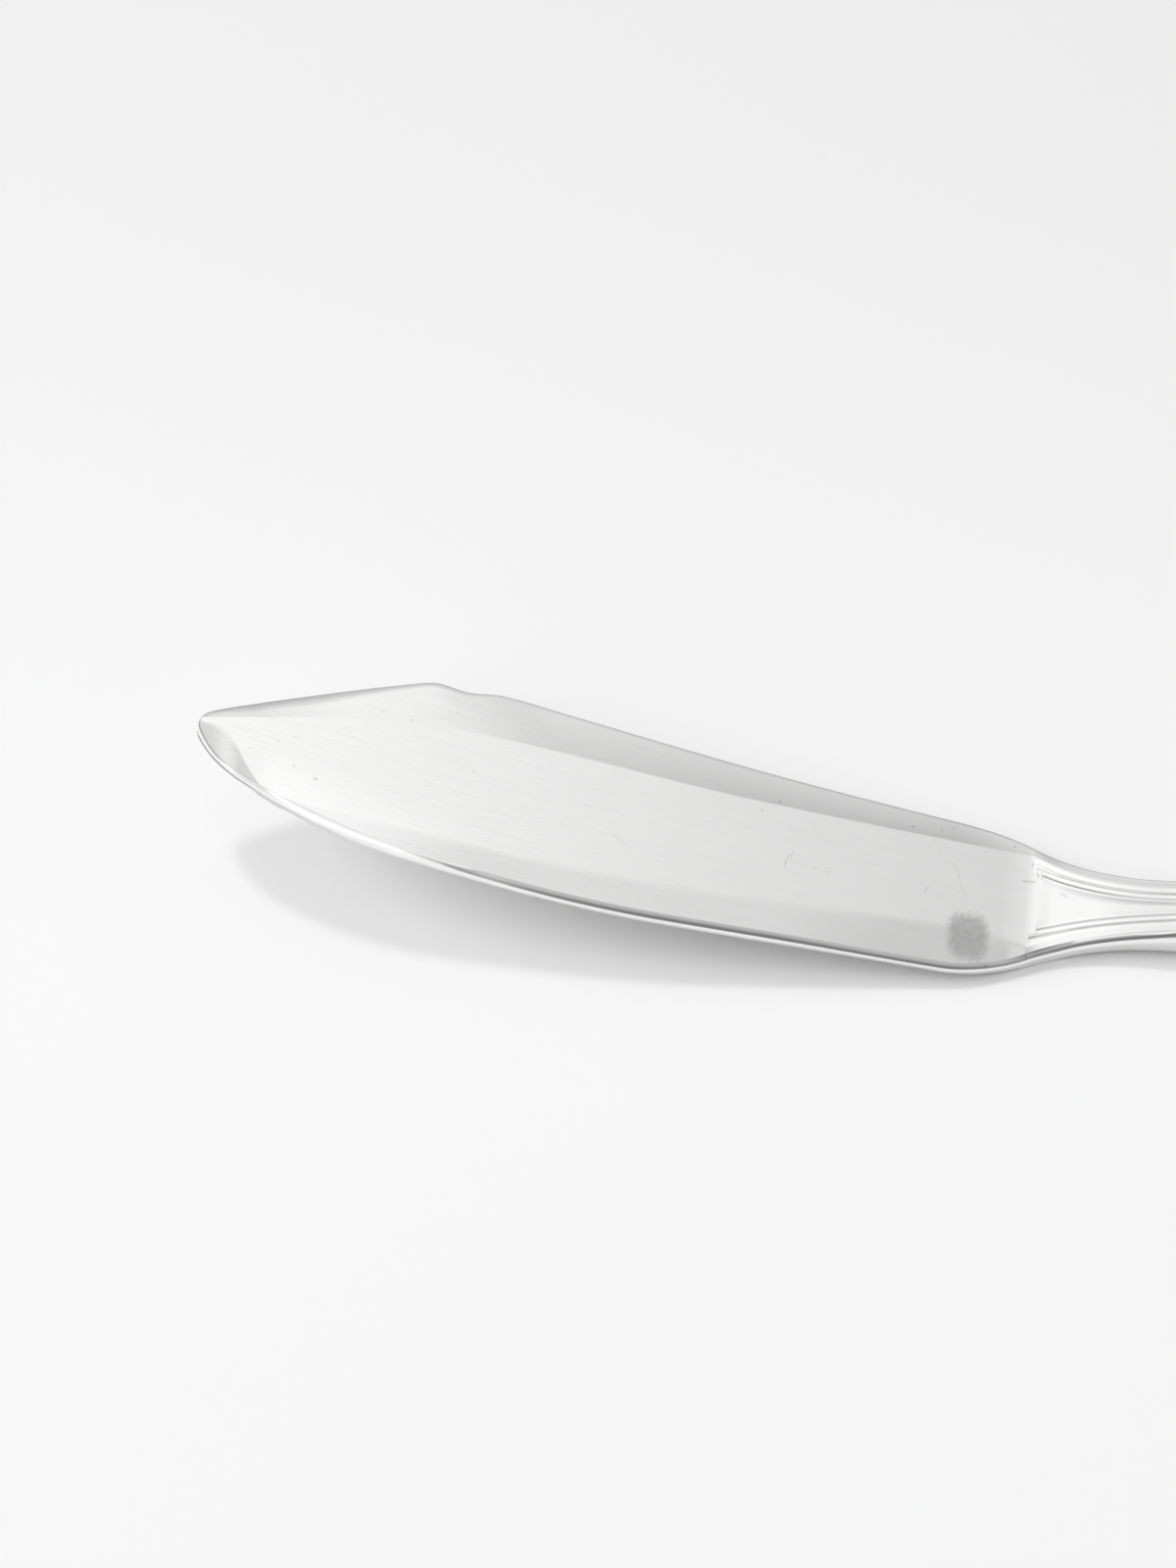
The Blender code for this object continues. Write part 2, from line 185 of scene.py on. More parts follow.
TIP_CENTRE = -BLADE_LENGTH + TIP_RADIUS
TIP_SPINE_ANGLE = math.atan(0.47)
TIP_BELLY_ANGLE = math.atan(1.6)
PEAK_AT = PEAK_FROM_TIP - BLADE_LENGTH
SPINE = (
    (
        TIP_CENTRE - TIP_RADIUS * math.sin(TIP_SPINE_ANGLE),
        TIP_SIDE + TIP_RADIUS * math.cos(TIP_SPINE_ANGLE),
        math.tan(TIP_SPINE_ANGLE),
    ),
    (PEAK_AT - 0.34 * NOTCH_LENGTH, PEAK_SIDE - NOTCH_DEPTH - SPINE_TRIM, 0.34),
    (PEAK_AT, PEAK_SIDE - SPINE_TRIM, 0.0),
    (PEAK_AT + 0.5 * NOTCH_LENGTH, PEAK_SIDE - NOTCH_DEPTH - SPINE_TRIM, 0.0),
    (PEAK_AT + NOTCH_LENGTH, PEAK_SIDE - 0.3 * NOTCH_DEPTH - SPINE_TRIM, -0.03),
    (PEAK_AT + 1.7 * NOTCH_LENGTH, PEAK_SIDE - 1.3 * NOTCH_DEPTH - SPINE_TRIM, -0.17),
    (-HEEL_LENGTH, HEEL_SPINE_SIDE - SPINE_TRIM, -0.11),
    (0.0, SHOULDER_HALF, -SHOULDER_SLOPE),
    (0.011, 0.00395, -0.173),
    (WAIST_AT, WAIST_HALF, 0.0),
)
BELLY = (
    (
        TIP_CENTRE - TIP_RADIUS * math.sin(TIP_BELLY_ANGLE),
        TIP_SIDE - TIP_RADIUS * math.cos(TIP_BELLY_ANGLE),
        -math.tan(TIP_BELLY_ANGLE),
    ),
    (-0.904 * BLADE_LENGTH, -0.12 * HEEL_BELLY_SIDE - BELLY_SWELL, -0.55),
    (-0.702 * BLADE_LENGTH, -0.71 * HEEL_BELLY_SIDE - BELLY_SWELL, -0.17),
    (-0.426 * BLADE_LENGTH, -0.985 * HEEL_BELLY_SIDE - BELLY_SWELL, -0.015),
    (-HEEL_LENGTH, -HEEL_BELLY_SIDE - BELLY_SWELL, 0.0),
    (0.0, -SHOULDER_HALF - 0.5 * BELLY_SWELL, SHOULDER_SLOPE),
    (0.011, -0.00475, 0.110),
    (0.016, -0.00440, 0.060),
    (WAIST_AT, -WAIST_HALF, 0.0),
)


def thread_width(half):
    """Width of the double thread where the neck or handle is this wide from axis to edge."""
    share = (half - WAIST_HALF) / (HANDLE_HALF - WAIST_HALF)
    return THREAD_AT_WAIST + (THREAD_AT_END - THREAD_AT_WAIST) * share


RIDGE_AT_SHOULDER = SHOULDER_HALF - RIDGE_SHARE * thread_width(SHOULDER_HALF)
SPINE_RIDGE = (
    (-BLADE_LENGTH, TIP_RIDGE_SIDE, 0.16),
    (-0.734 * BLADE_LENGTH, 0.63 * PEAK_SIDE, 0.0),
    (-0.340 * BLADE_LENGTH, 0.45 * PEAK_SIDE, -0.075),
    (0.0, RIDGE_AT_SHOULDER, -0.05),
)
BELLY_RIDGE = (
    (-BLADE_LENGTH, 0.92 * TIP_RIDGE_SIDE, -0.02),
    (-0.970 * BLADE_LENGTH, 0.87 * TIP_RIDGE_SIDE, -0.3),
    (-0.946 * BLADE_LENGTH, 0.50 * TIP_RIDGE_SIDE, -1.8),
    (-0.922 * BLADE_LENGTH, 0.0, -1.4),
    (-0.911 * BLADE_LENGTH, -0.13 * HEEL_BELLY_SIDE, -0.9),
    (-0.870 * BLADE_LENGTH, -0.25 * HEEL_BELLY_SIDE, -0.2),
    (-0.800 * BLADE_LENGTH, -0.32 * HEEL_BELLY_SIDE, -0.09),
    (-0.702 * BLADE_LENGTH, -0.41 * HEEL_BELLY_SIDE, -0.13),
    (-0.457 * BLADE_LENGTH, -0.585 * HEEL_BELLY_SIDE, -0.02),
    (-HEEL_LENGTH, -0.51 * HEEL_BELLY_SIDE, 0.02),
    (0.0, -RIDGE_AT_SHOULDER, -0.3),
)
NECK_START = -0.5 * HEEL_LENGTH
NECK_FORMED_AT = 0.62 * WAIST_AT
NECK_CREST = (
    (LAND_END + 0.15 * NECK_BEND, 0.5 * BLADE_THICKNESS, 0.0),
    (NECK_FORMED_AT, 0.40 * WAIST_THICKNESS, 0.08),
    (WAIST_AT, 0.5 * WAIST_THICKNESS, 0.0),
)

# How the faces turn over at their edges: the share of the bevel's fall that is ground there, the hollow of
# the spine's bevel and a roll of growing slope beside it, then a round down to the edge, cut off square by
# its corner share. Underneath, the neck falls a little to its sides, and the near edge is undercut.
SPINE_FALL = (
    (-BLADE_LENGTH, 0.60, 0.0),
    (-0.965 * BLADE_LENGTH, 0.42, 0.0),
    (-0.885 * BLADE_LENGTH, 0.27, 0.0),
    (-0.800 * BLADE_LENGTH, 0.11, 0.0),
    (-0.730 * BLADE_LENGTH, 0.10, 0.0),
    (-0.580 * BLADE_LENGTH, 1.0, 0.0),
    (-0.330 * BLADE_LENGTH, 1.25, 0.0),
    (-HEEL_LENGTH, 1.0, 0.0),
    (0.0, 0.48, 0.0),
    (NECK_FORMED_AT, 0.27, 0.0),
)
SPINE_ROLL = (
    (-BLADE_LENGTH, 0.0003, 0.0),
    (-0.930 * BLADE_LENGTH, 0.0014, 0.0),
    (-0.870 * BLADE_LENGTH, 0.0016, 0.0),
    (PEAK_AT, 0.0007, 0.0),
    (PEAK_AT + NOTCH_LENGTH, 0.00030, 0.0),
    (0.0, 0.00030, 0.0),
    (NECK_FORMED_AT, 0.00010, 0.0),
)
SPINE_ROLL_SLOPE = 0.24
SPINE_ROLL_LEAST = 1e-6
SPINE_HOLLOW = (
    (NECK_START, 0.45, 0.0),
    (0.3 * NECK_FORMED_AT, -0.3, 0.0),
)
SPINE_ROUND = (
    (-BLADE_LENGTH, 0.00030, 0.0),
    (-0.950 * BLADE_LENGTH, 0.00012, 0.0),
    (0.0, 0.00012, 0.0),
    (NECK_FORMED_AT, 0.00020, 0.0),
    (WAIST_AT, 0.00050, 0.0),
)
BELLY_FALL = (
    (-0.985 * BLADE_LENGTH, 0.80, 0.0),
    (-0.960 * BLADE_LENGTH, 0.65, 0.0),
    (-0.922 * BLADE_LENGTH, 0.62, 0.0),
    (-0.900 * BLADE_LENGTH, 0.20, 0.0),
    (-0.800 * BLADE_LENGTH, 0.20, 0.0),
    (-0.640 * BLADE_LENGTH, 0.60, 0.0),
    (-0.300 * BLADE_LENGTH, 0.60, 0.0),
    (-HEEL_LENGTH, 1.35, 0.0),
    (-0.0008, 1.00, 0.0),
    (0.0022, 0.08, 0.0),
    (WAIST_AT, 0.15, 0.0),
)
BELLY_ROUND = (
    (-BLADE_LENGTH, 0.00030, 0.0),
    (-0.972 * BLADE_LENGTH, 0.00020, 0.0),
    (-0.940 * BLADE_LENGTH, 0.00020, 0.0),
    (-0.915 * BLADE_LENGTH, 0.00025, 0.012),
    (-0.845 * BLADE_LENGTH, 0.00075, 0.0),
    (-0.720 * BLADE_LENGTH, 0.00050, 0.0),
    (-0.640 * BLADE_LENGTH, 0.00062, 0.0),
    (0.0, 0.00060, 0.0),
    (NECK_FORMED_AT, 0.00080, 0.0),
)
BELLY_CORNER = (
    (-0.690 * BLADE_LENGTH, 0.0, 0.0),
    (-0.630 * BLADE_LENGTH, 0.85, 0.0),
    (0.0, 0.85, 0.0),
    (0.4 * NECK_FORMED_AT, 0.0, 0.0),
)
BELLY_UNDERCUT = (
    (-BLADE_LENGTH, 0.0, 0.0),
    (-0.950 * BLADE_LENGTH, 0.00045, 0.0),
    (-0.650 * BLADE_LENGTH, 0.00040, 0.0),
    (-0.250 * BLADE_LENGTH, 0.00030, 0.0),
    (-0.0020, 0.0, 0.0),
)
EDGE_SINK = (
    (-0.90 * BLADE_LENGTH, 0.0, 0.0),
    (-0.70 * BLADE_LENGTH, 0.00015, 0.0),
)
UNDER_FALL = (
    (NECK_START, 0.0, 0.0),
    (NECK_FORMED_AT, 0.00013, 0.0),
)
UNDER_ROUND = (
    (-0.95 * BLADE_LENGTH, 0.00030, 0.0),
    (-0.80 * BLADE_LENGTH, 0.00012, 0.0),
)
SPINE_DROP = 1.3
NECK_SPINE_WALL = 0.45
NECK_BELLY_WALL = 0.20
EDGE_FLAT = 0.00003
CREASE_SHARE = 0.6
SWELL_LENGTH = 0.0035
SWELL_SLOPE = 0.060
SWELL_END = 0.0100

# How softly the bevels meet the panel: a greatest width and a share of the bevel, then a share at the tip
SPINE_SOFTNESS = (0.00012, 0.1)
BELLY_SOFTNESS = (0.0008, 0.3)
TIP_SOFTNESS = 0.2
TIP_SOFTENING = (
    (-0.97 * BLADE_LENGTH, 1.0, 0.0),
    (-0.90 * BLADE_LENGTH, 0.0, 0.0),
)

# Painted shade round the tip's rim, tarnish in the grooves, a painted highlight on the near edge, wear on the
# beads
# Painted shade: a dark line round the lower edge of the tip's rim
UNDER_RIM_PAINTED_SHADE = (
    (-0.98 * BLADE_LENGTH, 2.20, 0.0),
    (-0.90 * BLADE_LENGTH, 0.77, 0.0),
    (-0.75 * BLADE_LENGTH, 0.0, 0.0),
)
# Painted shade in the corner where the round of the tip meets its bevel
CORNER_PAINTED_SHADE = (
    (-0.925 * BLADE_LENGTH, 1.4, 0.0),
    (-0.900 * BLADE_LENGTH, 0.0, 0.0),
)
# Painted shade: a dark lens on the rim where the belly's bevel runs out
RIM_LENS_PAINTED_SHADE = (
    (-0.958 * BLADE_LENGTH, 0.0, 0.0),
    (-0.925 * BLADE_LENGTH, 1.0, 0.0),
    (-0.910 * BLADE_LENGTH, 1.0, 0.0),
    (-0.890 * BLADE_LENGTH, 0.0, 0.0),
)
RIM_PAINTED_SHADE_FADE = (0.2, 0.8)
# Painted highlight: brightens a wide strip of the upper face along the near edge
EDGE_PAINTED_HIGHLIGHT = (
    (-0.93 * BLADE_LENGTH, 0.0, 0.0),
    (-0.89 * BLADE_LENGTH, 0.17, 0.0),
    (-0.74 * BLADE_LENGTH, 0.17, 0.0),
    (-0.62 * BLADE_LENGTH, 0.0, 0.0),
)
EDGE_PAINTED_HIGHLIGHT_WIDTH = 0.009
GROOVE_TARNISH = 0.2
SPINE_GROOVE_TARNISH = (
    (0.006, 2.2, 0.0),
    (0.013, 0.0, 0.0),
)
TARNISH_SINK = (0.6, 1.0)
BEAD_WEAR = (
    (0.0, 0.0, 0.0),
    (0.002, 0.15, 0.0),
)
BEAD_WEAR_SINK = (0.4, 0.1)


def edge_side(at, hand):
    """Side of an edge of the blade or neck: round at the tip, then along its knots."""
    knots = SPINE if hand > 0 else BELLY
    if at < knots[0][0]:
        return TIP_SIDE + hand * math.sqrt(TIP_RADIUS**2 - (at - TIP_CENTRE) ** 2)
    return hermite(at, knots)


def inward(at, hand):
    """Direction that leads in from an edge, square to it: its parts along and across the knife."""
    if at < (SPINE if hand > 0 else BELLY)[0][0]:
        along = (TIP_CENTRE - at) / TIP_RADIUS
        return along, math.sqrt(1.0 - along * along)
    step = 0.1 * TIP_RADIUS
    slope = (edge_side(at + step, hand) - edge_side(at - step, hand)) / (2.0 * step)
    size = math.hypot(slope, 1.0)
    return hand * slope / size, 1.0 / size


def bead(share, low, high):
    """Broad bead between two narrow grooves: 0 on its top and 1 in the grooves."""
    off = (2.0 * share - low - high) / (high - low)
    return 1.0 - max(0.0, 1.0 - off**BEAD_POWER) ** (1.0 / BEAD_POWER)


def relief(share, crest, outer, inner):
    """Depth of the threads below their crest, as a share of the full depth, for how far each cut is in."""
    if share <= OUTER_GROOVE_SHARE:
        return outer * bead(share, 2.0 * crest - OUTER_GROOVE_SHARE, OUTER_GROOVE_SHARE)
    if share <= INNER_GROOVE_SHARE:
        cut = outer if share < BEAD_SHARE else inner
        return cut * (BEAD_SINK + (1.0 - BEAD_SINK) * bead(share, OUTER_GROOVE_SHARE, INNER_GROOVE_SHARE))
    rise = bead(share, INNER_GROOVE_SHARE, 2.0 * LIP_SHARE - INNER_GROOVE_SHARE)
    return inner * (BEAD_SINK + (1.0 - BEAD_SINK) * rise)


def thread_shares(crest):
    """Where points lie across the threads, from next to the crest to the lip at the field."""
    return [
        *spread(crest, OUTER_GROOVE_SHARE, 9)[1:],
        *spread(OUTER_GROOVE_SHARE, INNER_GROOVE_SHARE, 12),
        *spread(INNER_GROOVE_SHARE, LIP_SHARE, 5),
        LIP_SHARE,
    ]


def thread_pitch(width, ridge, across):
    """Spacing of the threads: their own width, or less where the two borders share a narrow neck."""
    return min(width, SIDE_SHARE * (across - 2.0 * ridge) / (LIP_SHARE - RIDGE_SHARE))


ROUND_STEPS = 9
BEVEL_STEPS = 14
BEVEL_CROWDING = 1.5
FILLET_STEPS = 6
FIELD_STEPS = 6
LEAST_REACH = 1e-9


def round_of(at, hand, top):
    """Radius in plan with which a face turns down to its edge."""
    if not top:
        return hermite(at, UNDER_ROUND)
    return hermite(at, SPINE_ROUND if hand > 0 else BELLY_ROUND)


def wall_of(at, hand):
    """Height of the upright side of the neck, as a share of the height of its crest."""
    even = 0.5 * ease(at, NECK_FORMED_AT, WAIST_AT)
    spine = even if hand < 0 else 1.0 - even
    return NECK_BELLY_WALL + (NECK_SPINE_WALL - NECK_BELLY_WALL) * spine


def raised(at, share, hand):
    """How far the border of the neck stands up at a place: its end is round, like the end of a finger."""
    off = min(max((share - RIDGE_SHARE) / (LIP_SHARE - RIDGE_SHARE), 0.0), 1.0)
    start = BORDER_START + BORDER_END_ROUND * (1.0 - math.sqrt(1.0 - off * off))
    length = BORDER_RIDGE_RUN_IN + (BORDER_LIP_RUN_IN - BORDER_RIDGE_RUN_IN) * off
    height = BORDER_RAISE * ease(at, start, start + length)
    formed = ease(at, NECK_FORMED_AT, WAIST_AT)
    if hand < 0:
        return height * formed * SHELL_RAISE / BORDER_RAISE
    return height * (1.0 + (SHELL_RAISE / BORDER_RAISE - 1.0) * formed)


def swell(at):
    """How far the panel lifts just before the crease at the shoulder, and sinks back behind it."""
    rise = 0.5 * SWELL_SLOPE * max(0.0, min(at, 0.0) + SWELL_LENGTH) ** 2 / SWELL_LENGTH
    return rise * (1.0 - ease(at, 0.0, SWELL_END))


def ridge_of(at, hand):
    """How far in from its edge a bevel meets the panel, or the border of the neck begins to crown."""
    edge = edge_side(at, hand)
    if at > 0.0:
        return RIDGE_SHARE * thread_width(hand * edge)
    return hand * (edge - hermite(at, SPINE_RIDGE if hand > 0 else BELLY_RIDGE))


def crest_share(at):
    """Where the border of the neck has its crest: on the bevel's ridge at first, then further in."""
    return RIDGE_SHARE + (CREST_SHARE - RIDGE_SHARE) * ease(at, 0.0, CREST_SHIFT)


def bevel_of(at, hand, top):
    """Where a bevel starts and ends in from its edge, and its depth below the crest between them.

    The ridge that it rises to and the pitch of the threads behind it come with them.
    """
    square = inward(at, hand)[1]
    start = round_of(at, hand, top) * square
    ridge = max(ridge_of(at, hand), start + BEVEL_LEAST_WIDTH)
    across = hand * (edge_side(at, hand) - edge_side(at, -hand))
    width = thread_width(hand * edge_side(at, hand)) if at > 0.0 else thread_width(SHOULDER_HALF)
    pitch = thread_pitch(width, 0.5 * (ridge + ridge_of(at, -hand)), across)
    end = ridge + (crest_share(at) - RIDGE_SHARE) * pitch
    if top:
        ground = hermite(at, SPINE_FALL if hand > 0 else BELLY_FALL)
        fall = BEVEL_DROP * min(1.0, ridge / BEVEL_FULL_WIDTH) * ground
    else:
        fall = hermite(at, UNDER_FALL)
        fall += hermite(at, BELLY_UNDERCUT) if hand < 0 else 0.0
    hollowed = top and hand > 0
    hollow = hermite(at, SPINE_HOLLOW)
    roll = max(min(hermite(at, SPINE_ROLL), (end - start) * square), SPINE_ROLL_LEAST)

    def depth(into):
        t = max(0.0, (end - into) / end)
        if not hollowed:
            return fall * t
        rolled = max(0.0, 1.0 - (into - start) * square / roll)
        return fall * t * (1.0 + hollow * (1.0 - t)) + 0.5 * SPINE_ROLL_SLOPE * roll * rolled**2

    return start, end, ridge, pitch, depth


def rim_painted_shade(at, top, hand):
    """Painted shade on the rim of the tip: a dark line round its lower edge, and a dark lens where its bevel
    runs out.
    """
    if not top:
        return hermite(at, UNDER_RIM_PAINTED_SHADE)
    return hermite(at, RIM_LENS_PAINTED_SHADE) if hand < 0 else 0.0


def half_face(at, hand, top):
    """Points across half a face of the blade or neck, from its edge to next to the middle.

    Each has its place, side and height, and how dark its tarnish and painted shade make it, or below 0 how
    bright its wear and painted highlight make it.
    """
    edge = edge_side(at, hand)
    across = hand * (edge - edge_side(at, -hand))
    along, square = inward(at, hand)
    crest = hermite(at, NECK_CREST)
    neck = ease(at, NECK_START, NECK_FORMED_AT)
    turn = round_of(at, hand, top)
    start, end, ridge, pitch, depth = bevel_of(at, hand, top)
    low = depth(start)
    other_start, _, _, _, other_depth = bevel_of(at, hand, not top)
    drop = crest - 0.5 * (low + other_depth(other_start)) - EDGE_FLAT
    if hand < 0:
        drop += hermite(at, EDGE_SINK) if top else -hermite(at, EDGE_SINK)
    if hand > 0:
        drop = min(drop, SPINE_DROP * turn + drop * ease(at, TIP_CENTRE, -BLADE_LENGTH))
    drop += ((1.0 - wall_of(at, hand)) * crest - low - drop) * neck
    far_turn = round_of(at, -hand, top)
    far_along, far_square = inward(at, -hand)
    reach = max(across - start - far_turn * far_square, LEAST_REACH)
    painted_shine = hermite(at, EDGE_PAINTED_HIGHLIGHT) if hand < 0 else 0.0
    points = []

    def add(into, height, dark=0.0):
        t = min(max((into - start) / reach, 0.0), 1.0)
        place = at + turn * along + (far_turn * far_along - turn * along) * t
        if top:
            bend = max(0.0, 0.5 * HEEL_BEND - abs(place))
            height += swell(place) - CREASE_SHARE * 0.5 * BLADE_RISE / HEEL_BEND * bend * bend
            # Painted highlight brightening a wide strip along the near edge
            dark -= painted_shine * ease(into, EDGE_PAINTED_HIGHLIGHT_WIDTH, 0.0)
        points.append((place, edge - hand * into, height if top else -height, dark))

    corner = math.acos(hermite(at, BELLY_CORNER)) if top and hand < 0 else 0.5 * math.pi
    for angle in spread(0.0, corner, ROUND_STEPS):
        into = turn * (1.0 - math.cos(angle)) / (1.0 - math.cos(corner))
        height = crest - low - drop * (1.0 - math.sin(angle) / math.sin(corner))
        # Painted shade round the rim of the tip
        dark = rim_painted_shade(at, top, hand) * (ease(angle / corner, *RIM_PAINTED_SHADE_FADE) if top else 1.0)
        points.append((at + into * along, edge - hand * into * square, height if top else -height, dark))
    cut_at = at + turn * along - (0.0 if top else LAND_END + NECK_BEND)
    widest, share = SPINE_SOFTNESS if hand > 0 else BELLY_SOFTNESS
    soft = min(widest, share * (end - start))
    soft += (TIP_SOFTNESS * (end - start) - soft) * hermite(at, TIP_SOFTENING)
    for t in [*spread(0.0, 1.0, BEVEL_STEPS), 1.0]:
        into = start + (end - soft - start) * t**BEVEL_CROWDING
        lift = raised(cut_at, RIDGE_SHARE, hand) * ease(into, start, end)
        # Painted shade in the corner at the start of the bevel, near the tip
        dark = hermite(at, CORNER_PAINTED_SHADE) if top and t == 0.0 else 0.0
        add(into, crest - depth(into) + lift, dark)
    add(end, crest + raised(cut_at, crest_share(at), hand))
    outer = run_in(cut_at, OUTER_GROOVE_START, GROOVE_RUN_IN)
    inner = run_in(cut_at, INNER_GROOVE_START, GROOVE_RUN_IN)
    for share in thread_shares(crest_share(at)):
        sink = relief(share, crest_share(at), outer, inner)
        height = crest + raised(cut_at, share, hand) - THREAD_DEPTH * sink
        tarnish = GROOVE_TARNISH
        if hand > 0 and share > BEAD_SHARE:
            tarnish += hermite(at, SPINE_GROOVE_TARNISH)
        dark = tarnish * ease(sink, *TARNISH_SINK) - hermite(at, BEAD_WEAR) * ease(sink, *BEAD_WEAR_SINK)
        add(ridge + (share - RIDGE_SHARE) * pitch, height, dark)
    middle = 0.5 * (across + ridge - ridge_of(at, -hand))
    lip = ridge + (LIP_SHARE - RIDGE_SHARE) * pitch
    lip_sink = THREAD_DEPTH * BEAD_SINK * inner - raised(cut_at, LIP_SHARE, hand)
    field_sink = THREAD_DEPTH * FIELD_SINK * ease(at, 0.0, FIELD_RUN_IN)
    fillet = min(FILLET, FILLET_ROOM * (middle - lip))
    for t in [*spread(0.0, 1.0, FILLET_STEPS)[1:], 1.0]:
        add(lip + fillet * t, crest - field_sink + (field_sink - lip_sink) * (1.0 - t) ** 2)
    for into in spread(lip + fillet, middle, FIELD_STEPS)[1:]:
        add(into, crest - field_sink)
    return points


def blade_section(at):
    """Closed section: over the top from the spine to the belly, then back underneath."""
    if at > WAIST_AT:
        return tang_section(at)
    over = half_face(at, 1, True) + half_face(at, -1, True)[::-1]
    under = half_face(at, 1, False) + half_face(at, -1, False)[::-1]
    ring = over + under[::-1]
    return [*ring, ring[0]]


def tang_section(at):
    """Flat bar with as many points round it as a section of the neck."""
    half = TANG_HALF + (TANG_END_HALF - TANG_HALF) * (at - WAIST_AT) / TANG_LENGTH
    count = len(half_face(WAIST_AT, 1, True)) * 2
    over = [(at, half * (1.0 - 2.0 * i / (count - 1)), 0.5 * TANG_THICKNESS, 0.0) for i in range(count)]
    ring = over + [(at, side, -height, 0.0) for _, side, height, _ in reversed(over)]
    return [*ring, ring[0]]


SAME_POINT = 1e-7
SLIVER = 1e-6
SHARP_FROM = math.radians(20.0)


def woven(rows):
    """A grid of faces through rows of points, with their tarnish, painted shade and painted highlight as an
    attribute.
    """
    bm = bmesh.new()
    tarnish = bm.verts.layers.float.new("tarnish")
    across, along = len(rows) - 1, len(rows[0]) - 1
    bmesh.ops.create_grid(bm, x_segments=across, y_segments=along, size=0.5)
    for vert in bm.verts:
        *place, dark = rows[round((vert.co.x + 0.5) * across)][round((vert.co.y + 0.5) * along)]
        vert.co = lay(*place)
        vert[tarnish] = dark
    bmesh.ops.remove_doubles(bm, verts=bm.verts, dist=SAME_POINT)
    return bm


def closed(bm):
    """Caps the open ends of a piece, takes out slivers and turns its faces outwards."""
    bmesh.ops.holes_fill(bm, edges=[edge for edge in bm.edges if edge.is_boundary], sides=0)
    bmesh.ops.dissolve_degenerate(bm, edges=bm.edges, dist=SLIVER)
    bmesh.ops.recalc_face_normals(bm, faces=bm.faces)
    return bm


def piece(name, bm, finish):
    """A finished piece of the knife, at the origin, with its place in its mesh."""
    mesh = bpy.data.meshes.new(name)
    bm.to_mesh(mesh)
    bm.free()
    mesh.shade_smooth()
    mesh.set_sharp_from_angle(angle=SHARP_FROM)
    mesh.materials.append(finish)
    made = bpy.data.objects.new(name, mesh)
    bpy.context.scene.collection.objects.link(made)
    return made


TIP_ANGLES = (0.02, 0.05, *spread(0.1, 1.5, 14))
BLADE_STATIONS = [
    *[-BLADE_LENGTH + TIP_RADIUS * (1.0 - math.cos(angle)) for angle in TIP_ANGLES],
    *spread(TIP_CENTRE, PEAK_AT - 0.5 * NOTCH_LENGTH, 60),
    *spread(PEAK_AT - 0.5 * NOTCH_LENGTH, PEAK_AT + 1.7 * NOTCH_LENGTH, 56),
    *spread(PEAK_AT + 1.7 * NOTCH_LENGTH, -HEEL_LENGTH, 44),
    *spread(-HEEL_LENGTH, -0.5 * HEEL_BEND, 26),
    *spread(-0.5 * HEEL_BEND, LAND_END, 34),
    *spread(LAND_END, NECK_FORMED_AT, 44),
    *spread(NECK_FORMED_AT, WAIST_AT, 16),
    WAIST_AT,
    WAIST_AT + SLIVER,
    WAIST_AT + TANG_LENGTH,
]


def draw_curve(mapping, points):
    """Lays a node's curve through points; a new one has two to begin with."""
    path = mapping.curves[0]
    path.points[0].location = points[0]
    path.points[1].location = points[-1]
    for point in points[1:-1]:
        path.points.new(*point)
    mapping.update()


